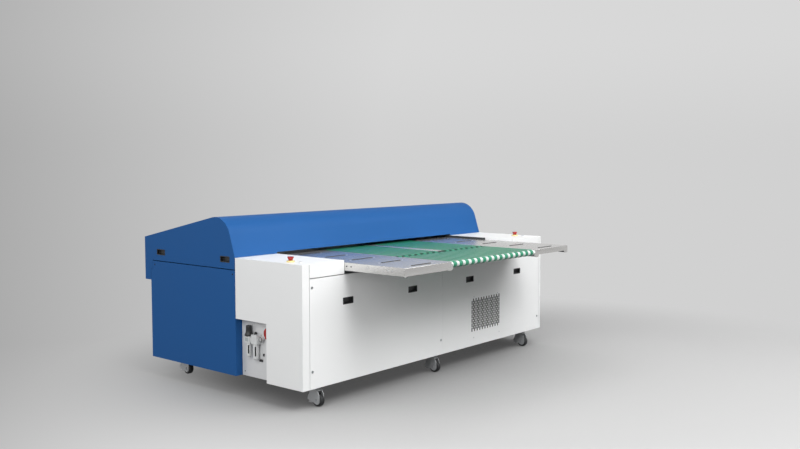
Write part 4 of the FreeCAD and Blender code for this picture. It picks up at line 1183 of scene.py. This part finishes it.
@dataclass
class Table:
    """Folded steel plates with round-ended cross slots, their fittings and the guide bar."""

    sheet: float = 2.0
    bend: float = 2.5
    rim: float = 6.0
    slot: Pair = (185.0, 13.0)
    slot_first: float = 60.0
    slot_pitch: float = 240.0
    slot_rows: int = 5
    screw_place: float = 110.0
    screw: Profile = ((0, 0.35), (5.8, 0.35), (7, 0), (0, 0))
    proud: float = 2.5
    lobe: Pair = (58.0, 40.0)
    hang: float = 4.0
    lobe_steps: Pair = (16.0, 8.0)
    right_skirt: float = 37.0
    flange_rows: tuple[tuple[str, Finish, tuple[float, ...]], ...] = (
        ("flange_bolts", SCREW_ZINC, (462, 426)), ("flange_screws", ZINC, (292, 130, 97)))
    flange_screw: Pair = (4.5, 2.4)

    def plate(self, low: np.ndarray, high: np.ndarray) -> list[Patch]:
        """Make one plate: a pierced top sheet and a skirt folded down round it.

        Args:
            low: Lowest corner.
            high: Highest corner.

        Returns:
            The plate's surfaces.
        """
        width, depth, drop = (high - low) / MM
        sheet, rim = self.sheet, self.rim
        centre = (*(low + high)[:2] / 2, high[2])
        loop = rounded_loop(*self.slot, self.slot[1] / 2, 5)
        holes = [(loop + (0, self.slot_first + row * self.slot_pitch - depth / 2))[::-1]
                 for row in range(self.slot_rows)]
        top = pierced_sheet(rounded_loop(width - 2 * rim, depth - 2 * rim, 0.5), holes, sheet,
                            0.15, Matrix.Translation(at(centre, z=-sheet / 2)))
        levels = [(rim, 0), *(quarter_round(self.bend, 9) * (1, -1)), (0, 0.4 - drop),
                  (0.4, -drop), (sheet - 0.4, -drop), (sheet, 0.4 - drop),
                  (sheet, -sheet - 1), (sheet + 1, -sheet), (rim, -sheet), (rim, 0)]
        skirt = stack_loops(levels, width, depth, 1.2, shrink=0.0, steps=3)
        return [top, mounted(skirt, centre)]

    def slot_fittings(self, place: np.ndarray) -> tuple[Patch, list[Patch]]:
        """Make a slot's strip and the two screws beyond its ends.

        Args:
            place: Middle of the slot, on the plate's face.

        Returns:
            The strip, and the screws.
        """
        reach = self.slot[0] / 2 - 3
        strip = slab(place, ((-reach, -4.5, -3.6), (reach, 4.5, self.proud)), 0.8)
        return strip, [lathe(self.screw, at(place, x), around=24)
                       for x in (-self.screw_place, self.screw_place)]

    def roller_brackets(self) -> None:
        """Hang the rounded brackets of the front roller from the plates' inner corners."""
        width, height = self.lobe
        rings = capped(stack_loops([(0.6, 0), (0, 0.6), (0, 3.4), (0.6, 4)], width, height,
                                   0.4 * height))
        foot = spot("table_plates", "---", 0, 4.2, height / 2 - self.hang)
        left, right = corners("front_bed")
        places = (at((left[0], *foot[1:]), self.lobe_steps[0] - width / 2),
                  at((right[0], *foot[1:]), width / 2 - self.lobe_steps[1]))
        make_piece("roller_brackets", [mounted(rings, place, FRONT) for place in places],
                   PLATE_STEEL)

    def flange_fittings(self) -> None:
        """Put the screws in the plates' side flanges and the stops at the front corners."""
        node = "table_plates"
        for name, finish, places in self.flange_rows:
            heads = [fastener(SOCKET_SCREW, spot(node, side + "-=", 0, y, 2), way,
                              *self.flange_screw) for side, way in SIDES for y in places]
            make_piece(name, heads, finish)
        stops = [block(spot(node, "---", 0, 0.1, -5), spot(node, "--+", 14, 3, -4), 0.8),
                 block(spot(node, "+--", -46, 0.1, -3), spot(node, "+--", -1, 3, 20), 0.8)]
        make_piece("corner_stops", stops, PLATE_STEEL)

    def build(self) -> None:
        """Make both plates and all that is fitted to them."""
        low, high = corners("table_plates")
        bed = corners("front_bed")
        sheets, screws, strips = [], [], []
        for x0, x1, foot in ((low[0], bed[0][0], low[2]),
                             (bed[1][0], high[0], high[2] - self.right_skirt * MM)):
            sheets += self.plate(np.array((x0, low[1], foot)), np.array((x1, *high[1:])))
            for row in range(self.slot_rows):
                strip, pair = self.slot_fittings(
                    at(((x0 + x1) / 2, low[1], high[2]),
                       y=self.slot_first + row * self.slot_pitch))
                strips.append(strip)
                screws += pair
        make_piece("table_sheets", sheets, PLATE_STEEL, stands_for=["table_plates"],
                   smooth_angle=15.0)
        make_piece("slot_screws", screws, ALUMINIUM)
        make_piece("slot_strips", strips, BLACK_ABS)
        self.roller_brackets()
        self.flange_fittings()
        make_piece("guide_bar", [block(*corners("side_fence"), 1.0)], DARK_COAT,
                   stands_for=["side_fence"])


@dataclass
class Conveyor:
    """Two rows of flat belts round four rollers, on slider beds."""

    places: int = 15
    strip_place: int = 7
    width: float = 33.0
    thickness: float = 2.2
    pitch: float = 64.0
    roller_radius: float = 19.0
    journal: Pair = (8.0, 6.0)

    def belts(self, name: str, node: str, skip: int | None = None) -> None:
        """Carry the belt's section round a stadium: two straight runs and two half-turns.

        Args:
            name: The piece's name.
            node: The node that holds the loops.
            skip: A place with no belt.
        """
        low, high = corners(node)
        half, z = (high[2] - low[2]) / 2, (low[2] + high[2]) / 2
        radius = half - self.thickness / 2 * MM
        t = np.linspace(np.pi / 2, -np.pi / 2, 25)
        turns = [np.stack([0 * t, y + way * radius * np.cos(t), z + way * radius * np.sin(t)],
                          -1) for y, way in ((high[1] - half, 1), (low[1] + half, -1))]
        path = np.concatenate(turns)
        section = rounded_loop(self.width, self.thickness, 0.5, 2) * MM
        places = np.arange(self.places) - (self.places - 1) / 2
        xs = np.delete((low[0] + high[0]) / 2 + places * self.pitch * MM,
                       [] if skip is None else skip)
        make_piece(name, [swept(section, path + (x, 0, 0), np.array(RIGHT)) for x in xs], BELT,
                   stands_for=[node])

    def roller(self, node: str, finish: Finish) -> None:
        """Turn one roller: a sleeve with chamfered ends on a stepped shaft.

        Args:
            node: The roller's node, which is its body too.
            finish: The sleeve's material.
        """
        low, high = corners(node)
        length, r, (j, end) = (high[0] - low[0]) / MM, self.roller_radius, self.journal
        half = [(0, 0), (j - 0.5, 0), (j, 0.5), (j, end), (r - 1, end), (r, end + 1)]
        profile = [*half, *[(q, length - h) for q, h in reversed(half)]]
        make_piece(node + "_sleeve", [lathe(profile, spot(node, "-=="), RIGHT, 64)], finish,
                   node, [node])

    def build(self) -> None:
        """Make the belts, the rollers, the beds and the strip."""
        self.belts("front_belt_loops", "front_belts")
        self.belts("rear_belt_loops", "rear_belts", self.strip_place)
        for node, finish in (("front_roller", SLEEVE), ("front_tail_roller", TYRE),
                             ("rear_head_roller", TYRE), ("rear_tail_roller", SLEEVE)):
            self.roller(node, finish)
        for node in ("front_bed", "rear_bed"):
            folded(node + "_plate", node, ALUMINIUM, edge=0.6)
        make_piece("steel_strip", [block(*corners("center_strip"), 0.8)], PLATE_STEEL,
                   stands_for=["center_strip"])


@dataclass
class Casters:
    """Six levelling casters: top plate, cast body, wheel in front and raised foot behind."""

    count: int = 6
    tread: float = 39.0
    half_width: float = 16.0
    trail: float = 46.0
    rim: float = 28.0
    bore: float = 6.05
    spokes: int = 5
    arm_face: float = 21.0
    plate: tuple[float, float, float] = (52.0, 43.0, 4.0)
    plate_bolts: Pair = (41.0, 31.0)
    plate_bolt: Pair = (7.0, 5.0)
    axle_bolt: Pair = (7.5, 4.5)
    foot_radius: float = 20.0
    foot_behind: float = 11.0
    foot_span: Pair = (18.0, 30.0)

    def wheel(self, number: int) -> None:
        """Turn a rounded tyre, and a hub whose web sinks between its spokes.

        Args:
            number: Which caster.
        """
        node = f"caster_wheel_{number}"
        centre, half = spot(node, "==="), self.half_width
        outer = [(self.rim, half - 1), (self.rim + 2, half),
                 *((self.tread, half) - quarter_round(6.0, 7))]
        profile = [*outer, *[(r, -h) for r, h in reversed(outer)], outer[0]]
        make_piece(f"caster_tyre_{number}", [lathe(profile, centre, RIGHT, 64)], TYRE, node,
                   [node])
        a = full_turn(80)
        spoke = np.clip(1.6 * np.cos(self.spokes * a / 2) ** 2 - 0.3, 0, 1)
        radii, drop, sink = np.array([
            (self.bore, half, 0), (self.bore, 0, 0), (11, 0, 0), (12, 1.5, 0), (14, 2, 5),
            (25, 2, 5), (26.5, 1, 0), (self.rim, 1, 0)]).T[..., None]
        face = half - drop - sink * (1 - spoke)
        rings = turned(np.concatenate([radii, radii[::-1]]),
                       np.concatenate([face, -face[::-1]]), a)
        make_piece(f"caster_hub_{number}", [mounted(rings, centre, RIGHT)], HUB, node)

    def fork(self, number: int) -> None:
        """Break the casting's edges, and add the axle's head and nut and the raised foot.

        Args:
            number: Which caster.
        """
        node = f"caster_fork_{number}"
        foot, top = self.foot_span
        folded(node + "_casting", node, CAST, node, 1.4, ceiling=top + 1)
        axle = spot(f"caster_wheel_{number}", "===")
        bolts = [fastener(HEX_NUT, at(axle, x), way, *self.axle_bolt)
                 for x, way in ((-self.arm_face, LEFT), (self.arm_face, RIGHT))]
        seat = at((axle[0], axle[1], 0), y=self.trail + self.foot_behind)
        stud = lathe([(0, foot + 7), (11.5, foot + 7), (12, foot + 7.5), (12, top), (0, top)],
                     seat, around=32)
        make_piece(f"caster_axle_bolts_{number}", [*bolts, stud], ZINC, node)
        r = self.foot_radius
        pad = [(0, 0), (r - 2.5, 0), (r - 0.6, 0.6), (r, 2), (r, 4.6), (r - 1, 6), (12.5, 8),
               (0, 8)]
        make_piece(f"caster_foot_{number}", [lathe(pad, at(seat, z=foot))], CAST, node)

    def plates(self) -> None:
        """Turn the six raceways and bolt the top plates."""
        low, high = corners("caster_plates")
        drop = (high[2] - low[2]) / MM
        raceway = [(6.3, -1), (25, -3), (28, -6), (28, 2 - drop), (27, 0.6 - drop),
                   (25, -drop), (6.3, -drop), (6.3, -1)]
        x, y, thickness = self.plate
        bolt_x, bolt_y = self.plate_bolts
        patches, bolts = [], []
        for number in range(1, self.count + 1):
            axle = spot(f"caster_wheel_{number}", "===")
            seat = at((axle[0], axle[1], high[2]), y=self.trail)
            patches += [slab(seat, ((-x, -y, -thickness), (x, y, 0)), 1.2),
                        lathe(raceway, seat)]
            bolts += [fastener(HEX_NUT, at(seat, dx, dy, -thickness), DOWN, *self.plate_bolt)
                      for dx in (-bolt_x, bolt_x) for dy in (-bolt_y, bolt_y)]
        make_piece("caster_top_plates", patches, ZINC, stands_for=["caster_plates"])
        make_piece("caster_plate_bolts", bolts, ZINC)

    def build(self) -> None:
        """Make all the casters."""
        self.plates()
        for number in range(1, self.count + 1):
            self.fork(number)
            self.wheel(number)


@dataclass
class PrintUnit:
    """Gantry, rails, carriage, lamps, heads and the capping station."""

    rail_bolt_pitch: float = 120.0
    rail_bolt_start: float = 40.0
    rail_bolt_margin: float = 20.0
    rail_bolt_inset: float = 10.0
    bolt_cap: Profile = ((0, 0.1), (4.5, 0.1), (4.8, 0), (0, 0))
    lamp_width: float = 34.0
    window_inset: Pair = (5.0, 10.0)

    def build(self) -> None:
        """Dress the printing parts, cap the rails' bolts and glaze the lamps."""
        folded("gantry_beam", "gantry", ALUMINIUM, edge=1.0)
        folded("guide_rails", "linear_rails", GROUND_STEEL)
        folded("carriage_shell", "carriage", DARK_COAT, "carriage", 1.0)
        folded("lamp_housings", "uv_lamps", DARK_COAT, "carriage", 2.0)
        folded("head_carrier", "head_plate", ALUMINIUM, "heads", 0.6)
        folded("head_bodies", "print_heads", BLACK_ABS, "heads")
        folded("capping_tray", "capping_station", BLACK_ABS)
        low, high = corners("linear_rails")
        inset = self.rail_bolt_inset * MM
        caps = [lathe(self.bolt_cap, (x, low[1], z), FRONT, 16)
                for x in np.arange(low[0] + self.rail_bolt_start * MM,
                                   high[0] - self.rail_bolt_margin * MM,
                                   self.rail_bolt_pitch * MM)
                for z in (low[2] + inset, high[2] - inset)]
        make_piece("rail_bolt_caps", caps, BLACK_ABS)
        x, y = self.window_inset
        panes = [block(spot("uv_lamps", side + "--", start + x, y, -0.6),
                       spot("uv_lamps", side + "+-", start + self.lamp_width - x, -y, 1), 0.3)
                 for side, start in (("-", 0), ("+", -self.lamp_width))]
        make_piece("lamp_windows", panes, DARK_GLASS, "carriage")


@dataclass
class Cabinet:
    """Welded frame, floor and the equipment behind the panels."""

    bottles: int = 6
    bottle_pitch: float = 62.0
    bottle_width: float = 52.0
    neck: float = 22.0
    cap: Profile = ((0, -1), (14, -1), (14, 17), (12.5, 20), (0, 21))
    latch: Profile = ((0, 3), (5, 3), (11, 2), (12, 0), (0, 0))
    latch_step: Pair = (35.0, 100.0)

    def tanks(self) -> None:
        """Mould the ink bottles with rounded shoulders, and turn their caps."""
        low, high = corners("ink_tanks")
        bottles, caps = [], []
        for x in self.bottle_pitch * np.arange(self.bottles):
            foot = at(low, x)
            top = at((foot[0], *high[1:]), self.bottle_width, 0, -self.neck)
            bottles.append(block(foot, top, 9))
            caps.append(lathe(self.cap, (*(foot + top)[:2] / 2, top[2]), around=32))
        make_piece("ink_bottles", bottles, BOTTLE, stands_for=["ink_tanks"])
        make_piece("ink_caps", caps, BLACK_ABS)

    def build(self) -> None:
        """Dress the frame and the equipment."""
        folded("welded_frame", "base_frame", FRAME_COAT, edge=1.2)
        folded("floor_sheet", "base_floor", FRAME_COAT, edge=0.6)
        folded("control_cabinet", "control_box", GREY_COAT, edge=2.0)
        x, z = self.latch_step
        places = (spot("control_box", "+--", -x, 0, z), spot("control_box", "+-+", -x, 0, -z))
        make_piece("cabinet_latches",
                   [lathe(self.latch, place, FRONT, 32) for place in places], BLACK_ABS)
        self.tanks()
        folded("blower_casing", "vacuum_blower", CAST, edge=3.0)


def main() -> None:
    """Load the model, set the studio and dress every sub-assembly."""
    logging.basicConfig(level=logging.INFO, format="%(message)s")
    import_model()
    for part in (Studio(), Covers(), FlushPulls(), VentGrille(), ServiceRecess(), Controls(),
                 Table(), Conveyor(), Casters(), PrintUnit(), Cabinet()):
        LOG.info("building %s", type(part).__name__)
        part.build()


if __name__ == "__main__":
    main()
